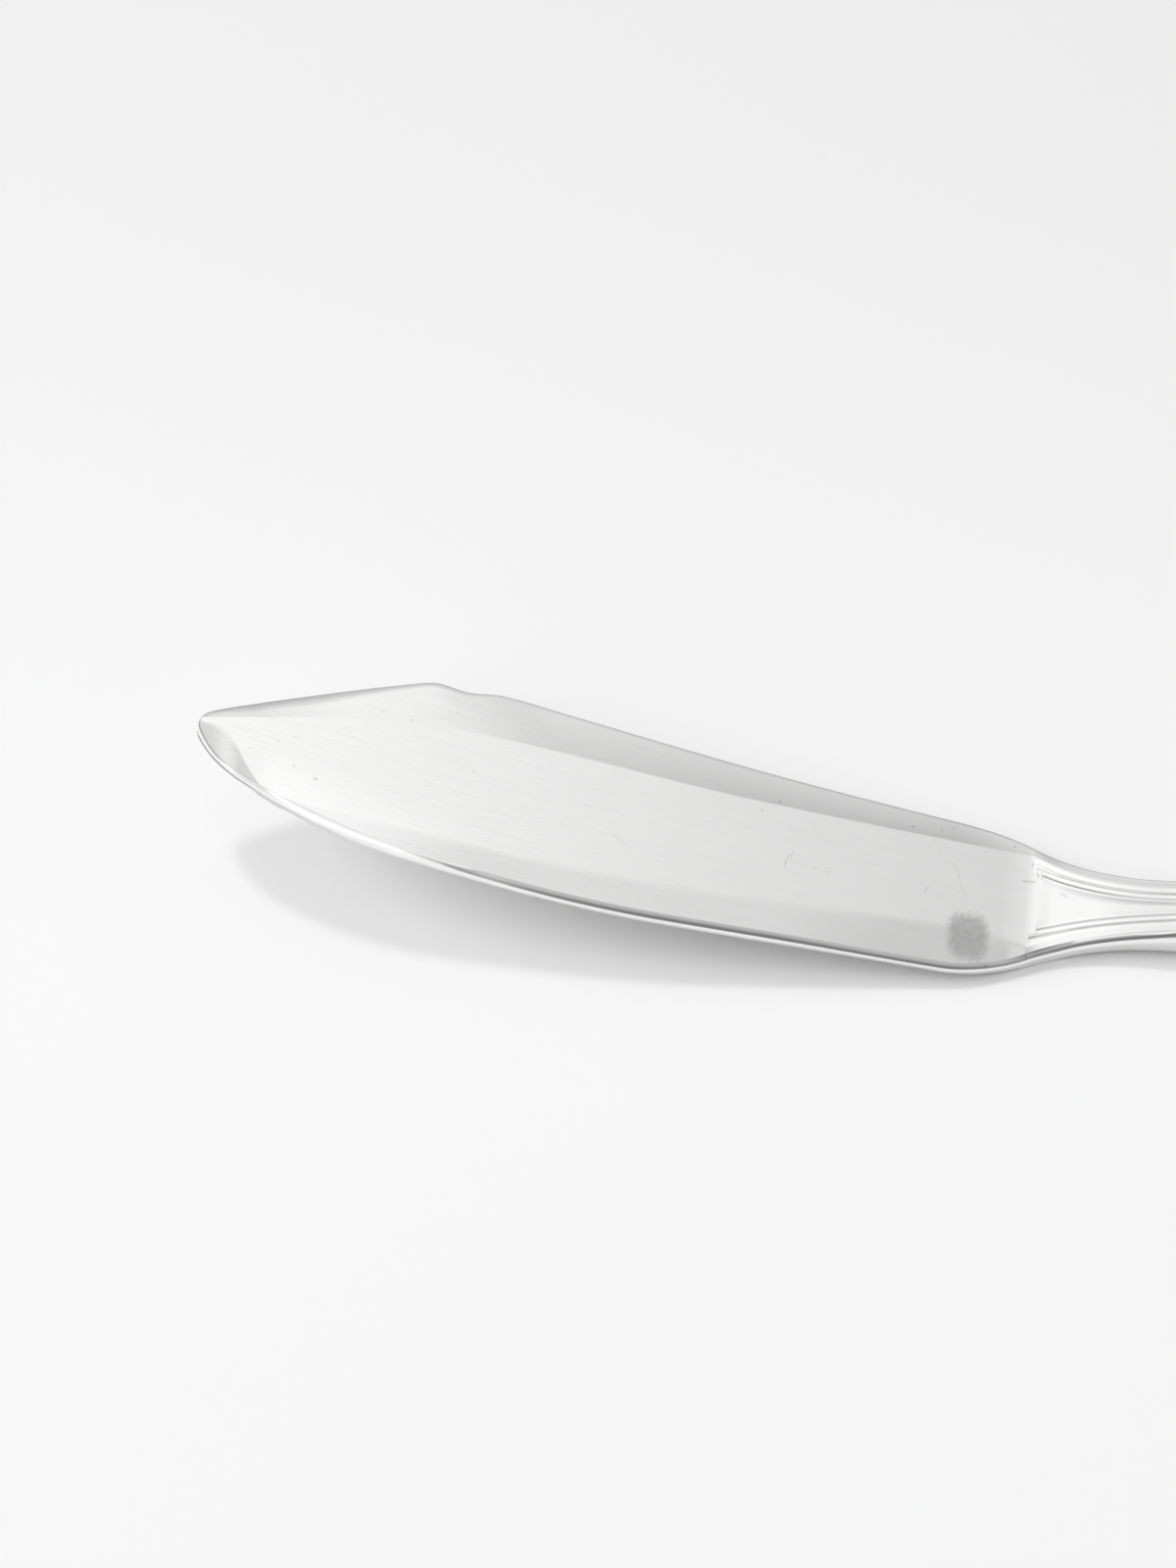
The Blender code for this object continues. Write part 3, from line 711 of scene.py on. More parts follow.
class Wire:
    """A shader socket that can be worked on like a number."""

    def __init__(self, tree, socket=None):
        self.tree = tree
        self.socket = socket

    def node(self, kind, settings, inputs, output=0):
        """Output of a new node of any kind, with its settings made first and its inputs filled or linked."""
        made = self.tree.nodes.new(kind)
        for name, value in settings.items():
            if name == "mapping":
                draw_curve(made.mapping, value)
            else:
                setattr(made, name, value)
        for name, value in inputs.items():
            if isinstance(value, Wire):
                self.tree.links.new(value.socket, made.inputs[name])
            else:
                made.inputs[name].default_value = value
        return Wire(self.tree, made.outputs[output])

    def math(self, operation, *values):
        return self.node("ShaderNodeMath", {"operation": operation}, dict(enumerate(values)))

    def __add__(self, other):
        return self.math("ADD", self, other)

    __radd__ = __add__

    def __sub__(self, other):
        return self.math("SUBTRACT", self, other)

    def __rsub__(self, other):
        return self.math("SUBTRACT", other, self)

    def __mul__(self, other):
        return self.math("MULTIPLY", self, other)

    __rmul__ = __mul__

    def __truediv__(self, other):
        return self.math("DIVIDE", self, other)

    def __rtruediv__(self, other):
        return self.math("DIVIDE", other, self)

    def __abs__(self):
        return self.math("ABSOLUTE", self)

    def step(self, start, end):
        """Rises smoothly from 0 to 1 between two values, in either direction."""
        low, high, first, last = (start, end, 0.0, 1.0) if start < end else (end, start, 1.0, 0.0)
        return self.node(
            "ShaderNodeMapRange",
            {"interpolation_type": "SMOOTHSTEP"},
            {"Value": self, "From Min": low, "From Max": high, "To Min": first, "To Max": last},
        )

    def noise(self, scale=1.0, detail=2.0, roughness=0.5):
        inputs = {"Vector": self, "Scale": scale, "Detail": detail, "Roughness": roughness}
        return self.node("ShaderNodeTexNoise", {"noise_dimensions": "3D"}, inputs)

    def along(self, turn, length, width, centre=(0.0, 0.0)):
        """Coordinates turned about +Z and counted in lengths and widths of a mark."""
        inputs = {
            "Vector": self,
            "Location": (*centre, 0.0),
            "Rotation": (0.0, 0.0, turn),
            "Scale": (length, width, 1.0),
        }
        return self.node("ShaderNodeMapping", {"vector_type": "TEXTURE"}, inputs)

    def axis(self, name):
        return self.node("ShaderNodeSeparateXYZ", {}, {"Vector": self}, output=name)

    def length(self):
        return self.node("ShaderNodeVectorMath", {"operation": "LENGTH"}, {0: self}, output="Value")

    def grey(self, colour):
        """A colour made darker or lighter by this value."""
        inputs = {"Factor": 1.0, "A": (*colour, 1.0), "B": self}
        return self.node("ShaderNodeMix", {"data_type": "RGBA", "blend_type": "MULTIPLY"}, inputs, output=2)


def metal(name, colour):
    """A new all-metal material, with its shader and the coordinates of the piece."""
    made = bpy.data.materials.new(name)
    made.use_nodes = True
    tree = made.node_tree
    shader = tree.nodes["Principled BSDF"]
    shader.inputs["Base Color"].default_value = (*colour, 1.0)
    shader.inputs["Metallic"].default_value = 1.0
    return made, shader, Wire(tree).node("ShaderNodeTexCoord", {}, {}, output="Object")


def plug(shader, name, wire):
    """Links a value or colour to a socket of a shader."""
    wire.tree.links.new(wire.socket, shader.inputs[name])


# Wear and stains of the upper face, in metres on the table under them. A speck has a place, a size and a
# strength, a tick two ends, a width and a strength, and the hairline has a side and a place at each point.
STAIN = (-0.0157, -0.0102)
STAIN_SIZE = (0.0025, 0.0034)
STAIN_TURN = 0.05
STAIN_EDGE = (1.10, 0.60)
STAIN_CORNERS = 3.0
STAIN_DARK = 0.46
RAG_SIZE = (0.0012, 0.0004)
RAG_TURN = 1.2
RAG_DEPTH = 0.5
MOTTLE_SCALE = 1500.0
MOTTLE_MEAN = 0.75
MOTTLE_SWING = 0.5
SPECK_DARK = 0.4
SPECK_EDGE = (1.0, 0.15)
SPECKS = (
    (-0.0227, 0.0040, 0.00032, 0.5),
    (-0.0195, 0.0042, 0.00022, 0.7),
    (-0.0181, 0.0049, 0.00030, 0.4),
    (-0.0112, 0.0034, 0.00026, 0.6),
    (-0.0135, -0.0136, 0.00042, 0.55),
    (-0.0142, -0.0141, 0.00020, 0.5),
    (-0.0126, -0.0147, 0.00022, 0.4),
    (-0.0934, 0.0015, 0.00030, 0.3),
    (-0.0917, 0.0025, 0.00024, 0.3),
    (-0.0912, -0.0017, 0.00034, 0.3),
    (-0.0886, -0.0030, 0.00036, 0.45),
    (-0.0962, -0.0001, 0.00022, 0.3),
    (-0.0794, 0.0075, 0.00030, 0.35),
    (-0.0827, 0.0082, 0.00024, 0.25),
    (-0.0716, 0.0016, 0.00034, 0.25),
    (-0.0395, 0.0027, 0.00022, 0.7),
    (-0.0377, 0.0044, 0.00024, 0.8),
    (-0.0330, -0.0043, 0.00022, 0.4),
    (-0.0316, -0.0045, 0.00018, 0.4),
    (-0.0110, 0.0001, 0.00024, 0.35),
)
TICK_DARK = 0.45
TICK_SIDE = (1.0, 0.2)
TICK_END = (1.0, 0.6)
TICKS = (
    (-0.03650, -0.0049, -0.03600, -0.0027, 0.00009, 0.5),
    (-0.03590, -0.0037, -0.03560, -0.0023, 0.00008, 0.4),
    (-0.05570, -0.0038, -0.05300, -0.0060, 0.00010, 0.25),
    (-0.02086, -0.0053, -0.02049, -0.0042, 0.00010, 0.4),
    (-0.02049, -0.0042, -0.02010, -0.0038, 0.00009, 0.3),
    (-0.00500, -0.00335, -0.00600, -0.00246, 0.00028, 0.30),
    (-0.01040, -0.00145, -0.00850, -0.00135, 0.00022, 0.45),
)
HAIRLINE = (
    (0.00287, -0.02034),
    (0.00143, -0.01972),
    (-0.00006, -0.01877),
    (-0.00066, -0.01785),
    (-0.00187, -0.01726),
    (-0.00315, -0.01697),
    (-0.00461, -0.01649),
    (-0.00670, -0.01593),
)
HAIRLINE_WIDTH = 0.00010
HAIRLINE_CORE = 0.2 * HAIRLINE_WIDTH
HAIRLINE_DARK = 0.12
HAIRLINE_BREAKS = (0.25, 0.6)
HAIRLINE_BREAK_SCALE = 900.0
HAIRLINE_TOP = (-0.02, 0.03)
HAIRLINE_FOOT = (1.02, 0.9)

# Satin brushing, which fades towards the shoulder, and the polish of the neck; amounts are shares of the tone
SILVER = (0.94, 0.94, 0.936)
SATIN_ROUGHNESS = 0.15
NECK_ROUGHNESS = 0.085
NECK_EDGE = 0.0001
NECK_POLISH = 0.7
NECK_SMOOTH = 0.8
NECK_DARK = 0.03
UPPER_FACE = (0.3, 0.7)
BRUSH_TURN = math.atan(-0.17)
BRUSH_SIZE = (0.010, 0.00012)
BRUSH_DARK = 0.19
BRUSH_DEPTH = 0.0000006
BRUSH_FADE = 0.75
BRUSH_FADE_PLACES = (-0.080, -0.030)
STREAK_SIZE = (0.026, 0.0009)
STREAK_DARK = 0.05
STREAK_DULL = 0.06
CLOUD_SCALE = 140.0
CLOUD_DARK = 0.03
CLOUD_DULL = 0.03
GRAIN_SCALE = 2600.0
GRAIN_DARK = 0.03
MARK_DULL = 0.3
# Darkening and dulling by the mesh's value: tarnish and painted shade, and below 0 wear and painted highlight
TARNISH_AND_PAINTED_LIGHT_DARK = 0.35
TARNISH_AND_PAINTED_LIGHT_DULL = 0.15


def speck(spot, x, y, size):
    """A soft round spot."""
    return spot.along(0.0, size, size, (x, y)).length().step(*SPECK_EDGE)


def tick(spot, x0, y0, x1, y1, width):
    """A short straight scratch with fading ends."""
    half = 0.5 * math.hypot(x1 - x0, y1 - y0)
    turned = spot.along(math.atan2(y1 - y0, x1 - x0), half, width, (0.5 * (x0 + x1), 0.5 * (y0 + y1)))
    return abs(turned.axis("Y")).step(*TICK_SIDE) * abs(turned.axis("X")).step(*TICK_END)


def hairline(spot):
    """A fine wandering line across the panel, drawn as the place along the knife for each side."""
    (top, west), (foot, east) = HAIRLINE[0], HAIRLINE[-1]
    down = (spot.axis("Y") - top) / (foot - top)
    points = [((y - top) / (foot - top), (x - west) / (east - west)) for y, x in HAIRLINE]
    path = spot.node("ShaderNodeFloatCurve", {"mapping": points}, {"Value": down})
    off = spot.axis("X") - (west + (east - west) * path)
    unbroken = spot.noise(HAIRLINE_BREAK_SCALE, 2.0).step(*HAIRLINE_BREAKS)
    line = abs(off).step(HAIRLINE_WIDTH, HAIRLINE_CORE) * unbroken
    return line * down.step(*HAIRLINE_TOP) * down.step(*HAIRLINE_FOOT)


def tarnish_and_painted_light_of(spot):
    """The tarnish and painted shade, or below 0 the wear and painted highlight, that a piece has in its mesh.
    """
    return spot.node("ShaderNodeAttribute", {"attribute_name": "tarnish"}, {}, output="Fac")


def satin_silver():
    """Plate with fine brushing that runs out at the shoulder, a bright neck, and marks on the upper face."""
    made, shader, spot = metal("satin_silver", SILVER)
    facing = spot.node("ShaderNodeNewGeometry", {}, {}, output="Normal").axis("Z").step(*UPPER_FACE)
    tarnish = tarnish_and_painted_light_of(spot)
    x = spot.axis("X")
    crease_x = lay(0.0, 0.0, 0.0).x
    neck = x.step(crease_x - NECK_EDGE, crease_x + NECK_EDGE)
    brushed = 1.0 - BRUSH_FADE * x.step(*BRUSH_FADE_PLACES)
    fine = spot.along(BRUSH_TURN, *BRUSH_SIZE).noise(1.0, 2.0, 0.6)
    broad = spot.along(BRUSH_TURN, *STREAK_SIZE).noise(1.0, 2.0)
    cloud = spot.noise(CLOUD_SCALE, 3.0)
    grain = spot.noise(GRAIN_SCALE, 2.0)

    blot = spot.along(STAIN_TURN, *STAIN_SIZE, STAIN)
    across, down = blot.axis("X"), blot.axis("Y")
    corner = across.math("POWER", abs(across), STAIN_CORNERS) + down.math("POWER", abs(down), STAIN_CORNERS)
    square = corner.math("POWER", corner, 1.0 / STAIN_CORNERS)
    ragged = square + RAG_DEPTH * (spot.along(RAG_TURN, *RAG_SIZE).noise(1.0, 3.0, 0.6) - 0.5)
    mottle = MOTTLE_MEAN + MOTTLE_SWING * (spot.noise(MOTTLE_SCALE, 3.0) - 0.5)
    stain = ragged.step(*STAIN_EDGE) * mottle
    marks = STAIN_DARK * stain + HAIRLINE_DARK * hairline(spot)
    for px, py, size, strength in SPECKS:
        marks = marks + SPECK_DARK * strength * speck(spot, px, py, size)
    for x0, y0, x1, y1, width, strength in TICKS:
        marks = marks + TICK_DARK * strength * tick(spot, x0, y0, x1, y1, width)
    worn = BRUSH_DARK * (fine - 0.5) * brushed + STREAK_DARK * (broad - 0.5)
    worn = worn + CLOUD_DARK * (cloud - 0.5) + GRAIN_DARK * (grain - 0.5)
    tone = 1.0 + worn * (1.0 - NECK_POLISH * neck) - NECK_DARK * neck
    # The mesh's value adds groove tarnish and painted shade at the tip's rim, and below 0 bead wear and a
    # painted highlight on the near edge
    tone = tone - marks * facing - TARNISH_AND_PAINTED_LIGHT_DARK * tarnish
    plug(shader, "Base Color", tone.grey(SILVER))
    satin = SATIN_ROUGHNESS + STREAK_DULL * (broad - 0.5) + CLOUD_DULL * (cloud - 0.5)
    satin = satin + MARK_DULL * marks * facing + (NECK_ROUGHNESS - SATIN_ROUGHNESS) * neck
    plug(shader, "Roughness", satin + TARNISH_AND_PAINTED_LIGHT_DULL * tarnish)
    height = fine * (1.0 - NECK_SMOOTH * neck) * brushed
    plug(shader, "Normal", spot.node("ShaderNodeBump", {}, {"Distance": BRUSH_DEPTH, "Height": height}))
    return made


blade = piece("blade_dressed", closed(woven([blade_section(at) for at in BLADE_STATIONS])), satin_silver())
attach(blade, "root")
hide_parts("blade")

# Upper half of the handle
# A shell stamped from thin plated sheet, with the neck's double thread carried round its border and a low
# crown in the field. It is soldered to the lower half along the seam and fits flush against the neck.

END_ROUND = 0.0140
BORDER_THICKNESS = 0.0062
CROWN_SHARE = 0.20
SHELL_WALL = 0.0006
SHELL_ROUND = 0.00070
SHELL_FALL = 0.00010
SEAM = 0.00002
SEAM_ROUND = 0.00008
JOINT = 0.00003
END_AT = HANDLE_LENGTH - END_ROUND
HANDLE_CREST = ((WAIST_AT, 0.5 * WAIST_THICKNESS, 0.0), (END_AT, 0.5 * BORDER_THICKNESS, 0.0))
HANDLE_EDGE = ((WAIST_AT, WAIST_HALF, 0.0), (END_AT, HANDLE_HALF, 0.0))
EDGE_STATIONS = 90
END_STATIONS = 44
CROWN_STEPS = 12
INSIDE_SHARES = (1.0, 0.7, 0.4, 0.0)
SHELL_TARNISH_SINK = (0.7, 1.0)


def handle_outline():
    """Places and sides along half of the handle's edge, with the direction that leads out of it there."""
    shallow = [WAIST_AT + JOINT, WAIST_AT + JOINT + 0.4 * SEAM_ROUND]
    for at in [*shallow, *spread(WAIST_AT + JOINT + SEAM_ROUND, END_AT, EDGE_STATIONS)]:
        step = 0.01 * END_ROUND
        slope = (hermite(at + step, HANDLE_EDGE) - hermite(at - step, HANDLE_EDGE)) / (2.0 * step)
        size = math.hypot(slope, 1.0)
        yield at, hermite(at, HANDLE_EDGE), -slope / size, 1.0 / size
    for angle in [*spread(0.0, 0.5 * math.pi, END_STATIONS), 0.5 * math.pi]:
        along, across = math.sin(angle) / END_ROUND, math.cos(angle) / HANDLE_HALF
        size = math.hypot(along, across)
        at, side = END_AT + END_ROUND * math.sin(angle), HANDLE_HALF * math.cos(angle)
        yield at, side, along / size, across / size


def shell_rib(at, half, along, across, hand):
    """Section of a shell: from the axis over the field and the threads to the seam, and back inside."""
    full_half = hermite(at, HANDLE_EDGE)
    crest = hermite(at, HANDLE_CREST)
    width = thread_width(full_half)
    ridge = RIDGE_SHARE * width
    pitch = thread_pitch(width, ridge, 2.0 * full_half)
    end = ridge + (CREST_SHARE - RIDGE_SHARE) * pitch
    from_joint = (at - WAIST_AT - JOINT) / SEAM_ROUND
    sunk = SEAM_ROUND * max(0.0, 1.0 - from_joint) ** 2
    turn = SHELL_ROUND

    def depth(into):
        return SHELL_FALL * max(0.0, (end - into) / end) - SHELL_RAISE * ease(into, turn, end)

    low = depth(turn)
    drop = (1.0 - 0.5 * (NECK_SPINE_WALL + NECK_BELLY_WALL)) * crest - low
    border = [(SEAM_ROUND, SEAM, 1.0), (0.3 * SEAM_ROUND, SEAM + 0.3 * SEAM_ROUND, 0.5)]
    border.append((0.0, SEAM + SEAM_ROUND, 0.0))
    for angle in spread(0.0, 0.5 * math.pi, ROUND_STEPS):
        into = turn * (1.0 - math.cos(angle))
        border.append((into, crest - low - drop * (1.0 - math.sin(angle)), 0.0))
    for into in [*spread(turn, end, BEVEL_STEPS), end]:
        border.append((into, crest - depth(into), 0.0))
    for share in thread_shares(CREST_SHARE):
        sink = relief(share, CREST_SHARE, 1.0, 1.0)
        height = crest + SHELL_RAISE - THREAD_DEPTH * sink
        border.append((ridge + (share - RIDGE_SHARE) * pitch, height, ease(sink, *SHELL_TARNISH_SINK)))
    lip = ridge + (LIP_SHARE - RIDGE_SHARE) * pitch
    fillet = min(FILLET, FILLET_ROOM * (full_half - lip))
    for t in [*spread(0.0, 1.0, FILLET_STEPS)[1:], 1.0]:
        sink = FIELD_SINK + (BEAD_SINK - SHELL_RAISE / THREAD_DEPTH - FIELD_SINK) * (1.0 - t) ** 2
        border.append((lip + fillet * t, crest - THREAD_DEPTH * sink, 0.0))
    place, field = at - along * (lip + fillet), half - across * (lip + fillet)
    level = crest - THREAD_DEPTH * FIELD_SINK
    outside = [
        (at - along * (into + sunk), half - across * (into + sunk), height - sunk, dark)
        for into, height, dark in border
    ]
    for share in [1.0 - t for t in spread(0.0, 1.0, CROWN_STEPS)[1:]] + [0.0]:
        outside.append((place, share * field, level + CROWN_SHARE * field * (1.0 - share**2) - sunk, 0.0))
    inner = [(SHELL_WALL, SEAM, 0.0), (SHELL_WALL, 0.4 * crest, 0.0)]
    inner += [(SHELL_WALL + turn, 0.6 * crest, 0.0), (end, crest - SHELL_WALL - THREAD_DEPTH, 0.0)]
    inside = [(at - along * into, half - across * into, height, dark) for into, height, dark in inner]
    for share in INSIDE_SHARES:
        crown = CROWN_SHARE * field * (1.0 - share**2)
        inside.append((place, share * field, level + crown - SHELL_WALL - THREAD_DEPTH, 0.0))
    return [(place, side, hand * height, dark) for place, side, height, dark in outside[::-1] + inside]


def shell(name, hand, finish):
    """Half of the handle: one side woven from its ribs, mirrored over the axis and capped at the neck."""
    bm = woven([shell_rib(*spot, hand) for spot in handle_outline()])
    bmesh.ops.translate(bm, verts=bm.verts, vec=(0.0, -AXIS_Y, 0.0))
    bmesh.ops.mirror(bm, geom=[*bm.verts, *bm.edges, *bm.faces], axis="Y", merge_dist=SLIVER)
    bmesh.ops.translate(bm, verts=bm.verts, vec=(0.0, AXIS_Y, 0.0))
    return piece(name, closed(bm), finish)


# Turn, length and width of the fine scratches that run each way, and where their noise shows
SCRATCHES = (
    (0.35, 0.006, 0.00010, (0.60, 0.74)),
    (-0.5, 0.005, 0.00009, (0.62, 0.76)),
    (1.25, 0.004, 0.00010, (0.62, 0.76)),
)
SCRATCH_DARK = 0.05
SCRATCH_DULL = 0.07
SCRATCH_CUT = 0.3
POLISH_TONE = 0.99
POLISH_CLOUD_SCALE = 110.0
POLISH_CLOUD_DARK = 0.03
POLISH_CLOUD_DULL = 0.04
POLISH_WAVE = 0.6
POLISH_DEPTH = 0.0000012
FILM_SCALE = 38.0
FILM_DARK = 0.04
FILM_DARK_PATCHES = (0.55, 0.8)
FILM_DULL = 0.05
FILM_DULL_PATCHES = (0.5, 0.8)
SHELL_TARNISH_DARK = 0.40
SHELL_TARNISH_DULL = 0.2


def polished_silver(name, roughness, scratches):
    """Bright plate with fine wear that runs every way, and tarnish left in the grooves."""
    made, shader, spot = metal(name, SILVER)
    tarnish = tarnish_and_painted_light_of(spot)
    cloud = spot.noise(POLISH_CLOUD_SCALE, 4.0)
    film = spot.noise(FILM_SCALE, 3.0)
    first, *others = [
        spot.along(turn, length, width).noise(1.0, 2.0, 0.6).step(*shown)
        for turn, length, width, shown in SCRATCHES
    ]
    wear = sum(others, first)
    tone = POLISH_TONE + POLISH_CLOUD_DARK * (cloud - 0.5) - FILM_DARK * film.step(*FILM_DARK_PATCHES)
    tone = tone - SCRATCH_DARK * scratches * wear - SHELL_TARNISH_DARK * tarnish
    plug(shader, "Base Color", tone.grey(SILVER))
    dull = roughness + POLISH_CLOUD_DULL * (cloud - 0.5) + FILM_DULL * film.step(*FILM_DULL_PATCHES)
    dull = dull + SCRATCH_DULL * scratches * wear + SHELL_TARNISH_DULL * tarnish
    plug(shader, "Roughness", dull)
    height = cloud * POLISH_WAVE - SCRATCH_CUT * scratches * wear
    plug(shader, "Normal", spot.node("ShaderNodeBump", {}, {"Distance": POLISH_DEPTH, "Height": height}))
    return made


upper = shell("handle_upper_dressed", 1.0, polished_silver("bright_silver", roughness=0.15, scratches=0.6))
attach(upper, "root")
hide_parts("handle_upper_shell")

# Lower half of the handle
# The same stamping turned over. It lies on the table, so its high places are covered with fine scratches.

lower = shell("handle_lower_dressed", -1.0, polished_silver("back_silver", roughness=0.19, scratches=1.0))
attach(lower, "root")
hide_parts("handle_lower_shell")

# Filling of the handle
# Grey cement poured round the tang to fix it and to give the hollow handle its weight. It is shut inside the
# shells, and its CAD solid stays.

CEMENT = (0.52, 0.49, 0.44)
SAND_SCALE = 2400.0
PATCH_SCALE = 160.0
PORE_SCALE = 900.0
PORE_EDGE = (0.30, 0.12)
CEMENT_TONE = 0.82
SAND_LIGHT = 0.24
PATCH_LIGHT = 0.18
PORE_DARK = 0.45
PORE_DEPTH = 1.5
CEMENT_ROUGHNESS = 0.82
SAND_DULL = 0.14
CEMENT_DEPTH = 0.00008


def cement():
    """Sandy cement with darker patches and small pores."""
    made, shader, spot = metal("cement", CEMENT)
    shader.inputs["Metallic"].default_value = 0.0
    sand = spot.noise(SAND_SCALE, 3.0, 0.6)
    patch = spot.noise(PATCH_SCALE, 3.0)
    cells = spot.node("ShaderNodeTexVoronoi", {}, {"Vector": spot, "Scale": PORE_SCALE}, output="Distance")
    pores = cells.step(*PORE_EDGE)
    tone = CEMENT_TONE + SAND_LIGHT * sand + PATCH_LIGHT * (patch - 0.5) - PORE_DARK * pores
    plug(shader, "Base Color", tone.grey(CEMENT))
    plug(shader, "Roughness", CEMENT_ROUGHNESS + SAND_DULL * sand)
    height = sand - PORE_DEPTH * pores
    plug(shader, "Normal", spot.node("ShaderNodeBump", {}, {"Distance": CEMENT_DEPTH, "Height": height}))
    return made


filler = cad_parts["handle_filler"]
for slot in filler.material_slots:
    slot.material = cement()

# Table, light and camera
# The knife lies on a matt white table, under a small soft light at the back left and a broad one at the
# left. The metal mirrors a pale room: a screen behind it, a window at the front left and a bright ceiling.

TABLE_SIZE = 6.0
TABLE_GAP = 0.00002
TABLE_WHITE = (0.95, 0.95, 0.95)
TABLE_BACK = (-0.04, 0.16)
# Painted shade that darkens the table towards the back
TABLE_BACK_PAINTED_SHADE = 0.10


def table_top():
    """Matt white paint, with painted shade that makes it a little greyer towards the back."""
    made, shader, spot = metal("matt_white_table", TABLE_WHITE)
    shader.inputs["Metallic"].default_value = 0.0
    shader.inputs["Roughness"].default_value = 0.7
    shader.inputs["Specular IOR Level"].default_value = 0.1
    back = spot.axis("Y").step(*TABLE_BACK)
    plug(shader, "Base Color", (1.0 - TABLE_BACK_PAINTED_SHADE * back).grey(TABLE_WHITE))
    return made


bm = bmesh.new()
under = Matrix.Translation((0.0, 0.0, -TABLE_GAP))
bmesh.ops.create_grid(bm, x_segments=8, y_segments=8, size=0.5 * TABLE_SIZE, matrix=under)
table = piece("table", bm, table_top())


def towards(azimuth, elevation):
    """Direction at an angle clockwise from +Y, seen from above, and an angle up from the table."""
    azimuth, elevation = math.radians(azimuth), math.radians(elevation)
    level = math.cos(elevation)
    return Vector((math.sin(azimuth) * level, math.cos(azimuth) * level, math.sin(elevation)))


# Brightness of the room; a pair gives where a part of it begins and is full, in the ray's share of an axis
ROOM_HORIZON = 0.14
ROOM_WALLS = 0.345
ROOM_WALL_HEIGHTS = (0.0, 0.55)
ROOM_FRONT = (-0.50, -0.88)
ROOM_FRONT_SHADE = 0.62
ROOM_LOW_HEIGHTS = (0.36, 0.22)
ROOM_LOW_SHARE = 0.6
ROOM_LOW_FRONT = (-0.2, -0.6)
ROOM_LOW_GLOW = 0.12
SCREEN_TOWARDS = towards(-5.0, 51.0)
SCREEN_GLOW = 0.84
SCREEN_SPREAD = math.radians(11.3)
SCREEN_LIMIT = 0.55
WINDOW_TOWARDS = towards(-138.0, 0.0)
WINDOW_GLOW = 1.0
WINDOW_SIDES = (0.84, 0.91)
WINDOW_HEIGHTS = (0.95, 0.88)
CEILING_GLOW = 0.42
CEILING_HEIGHTS = (0.93, 0.975)

world = bpy.data.worlds.new("pale_room")
bpy.context.scene.world = world
world.use_nodes = True
tree = world.node_tree
ray = Wire(tree).node("ShaderNodeTexCoord", {}, {}, output="Generated")


def facing(direction):
    """How far the ray points in a direction: 1 straight at it, 0 square to it."""
    inputs = {0: ray, 1: direction}
    return ray.node("ShaderNodeVectorMath", {"operation": "DOT_PRODUCT"}, inputs, output="Value")


height = ray.axis("Z")
depth = ray.axis("Y")
walls = ROOM_HORIZON + ROOM_WALLS * height.step(*ROOM_WALL_HEIGHTS)
low = height.step(*ROOM_LOW_HEIGHTS)
walls = walls * (1.0 - ROOM_FRONT_SHADE * depth.step(*ROOM_FRONT) * (1.0 - ROOM_LOW_SHARE * low))
walls = walls + ROOM_LOW_GLOW * depth.step(*ROOM_LOW_FRONT) * low
cosine = facing(SCREEN_TOWARDS)
away = cosine.math("ARCCOSINE", cosine)
screen = SCREEN_GLOW * away.math("EXPONENT", away / -SCREEN_SPREAD)
screen = screen.math("MINIMUM", screen, SCREEN_LIMIT)
flat = 1.0 - height * height
level = flat.math("SQRT", flat)
window = WINDOW_GLOW * (facing(WINDOW_TOWARDS) / level).step(*WINDOW_SIDES) * height.step(*WINDOW_HEIGHTS)
ceiling = CEILING_GLOW * height.step(*CEILING_HEIGHTS)
room = walls + screen + window + ceiling
tree.links.new(room.socket, tree.nodes["Background"].inputs["Color"])


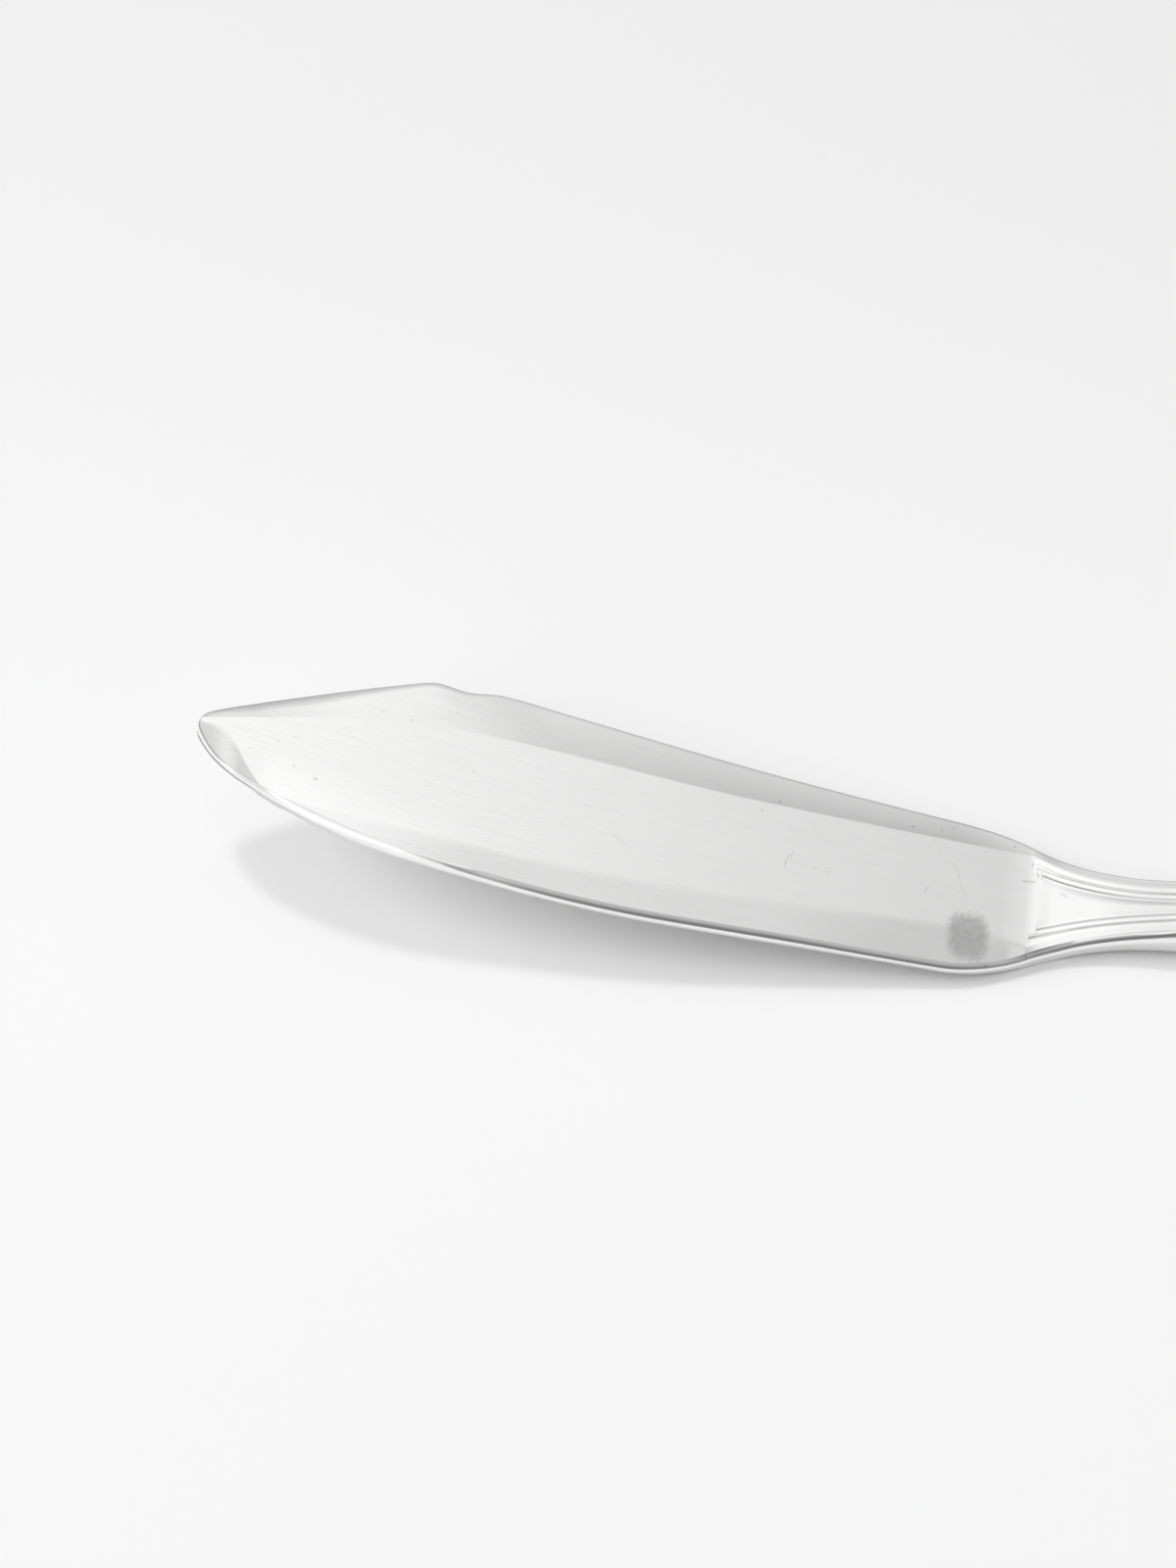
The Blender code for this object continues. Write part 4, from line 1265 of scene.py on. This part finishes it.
def soft_light(name, direction, distance, size, power):
    """A round lamp that shines on the knife and table from a direction, and is not mirrored in the metal."""
    lamp = bpy.data.lights.new(name, "AREA")
    lamp.shape = "DISK"
    lamp.size = size
    lamp.energy = power
    made = bpy.data.objects.new(name, lamp)
    made.location = distance * direction
    made.rotation_euler = direction.to_track_quat("Z", "Y").to_euler()
    made.visible_glossy = False
    bpy.context.scene.collection.objects.link(made)


soft_light("key_light", towards(-34.0, 49.0), distance=3.0, size=0.42, power=18.5)
soft_light("fill_light", towards(-82.0, 25.0), distance=2.5, size=1.2, power=26.0)

# The photograph is 1200 by 1600 pixels; the middle of the shoulder's face lies near its right edge
PICTURE = Vector((1200.0, 1600.0))
SHOULDER_PIXEL = Vector((1052.0, 924.0))
SHOULDER_SIDE = -0.0006
SHOULDER_SPOT = lay(0.0, SHOULDER_SIDE, 0.5 * BLADE_THICKNESS)
CAMERA_TILT = math.radians(50.0)
CAMERA_YAW = math.radians(6.5)
CAMERA_DISTANCE = 0.480
CAMERA_LENS = 100.0
CAMERA_SENSOR = 36.0
camera_data = bpy.data.cameras.new("camera")
camera_data.lens = CAMERA_LENS
camera_data.sensor_width = CAMERA_SENSOR
camera_data.clip_start = 0.01
camera_data.clip_end = 20.0
forward = Vector(
    (
        -math.sin(CAMERA_YAW) * math.cos(CAMERA_TILT),
        math.cos(CAMERA_YAW) * math.cos(CAMERA_TILT),
        -math.sin(CAMERA_TILT),
    )
)
right = Vector((math.cos(CAMERA_YAW), math.sin(CAMERA_YAW), 0.0))
up = right.cross(forward)
focal = CAMERA_LENS / CAMERA_SENSOR * PICTURE.y
off = (SHOULDER_PIXEL - 0.5 * PICTURE) / focal
camera = bpy.data.objects.new("camera", camera_data)
place = SHOULDER_SPOT - CAMERA_DISTANCE * (forward + off.x * right - off.y * up)
camera.matrix_world = Matrix.Translation(place) @ Matrix((right, up, -forward)).transposed().to_4x4()
bpy.context.scene.collection.objects.link(camera)
bpy.context.scene.camera = camera
bpy.context.scene.view_settings.view_transform = "Standard"
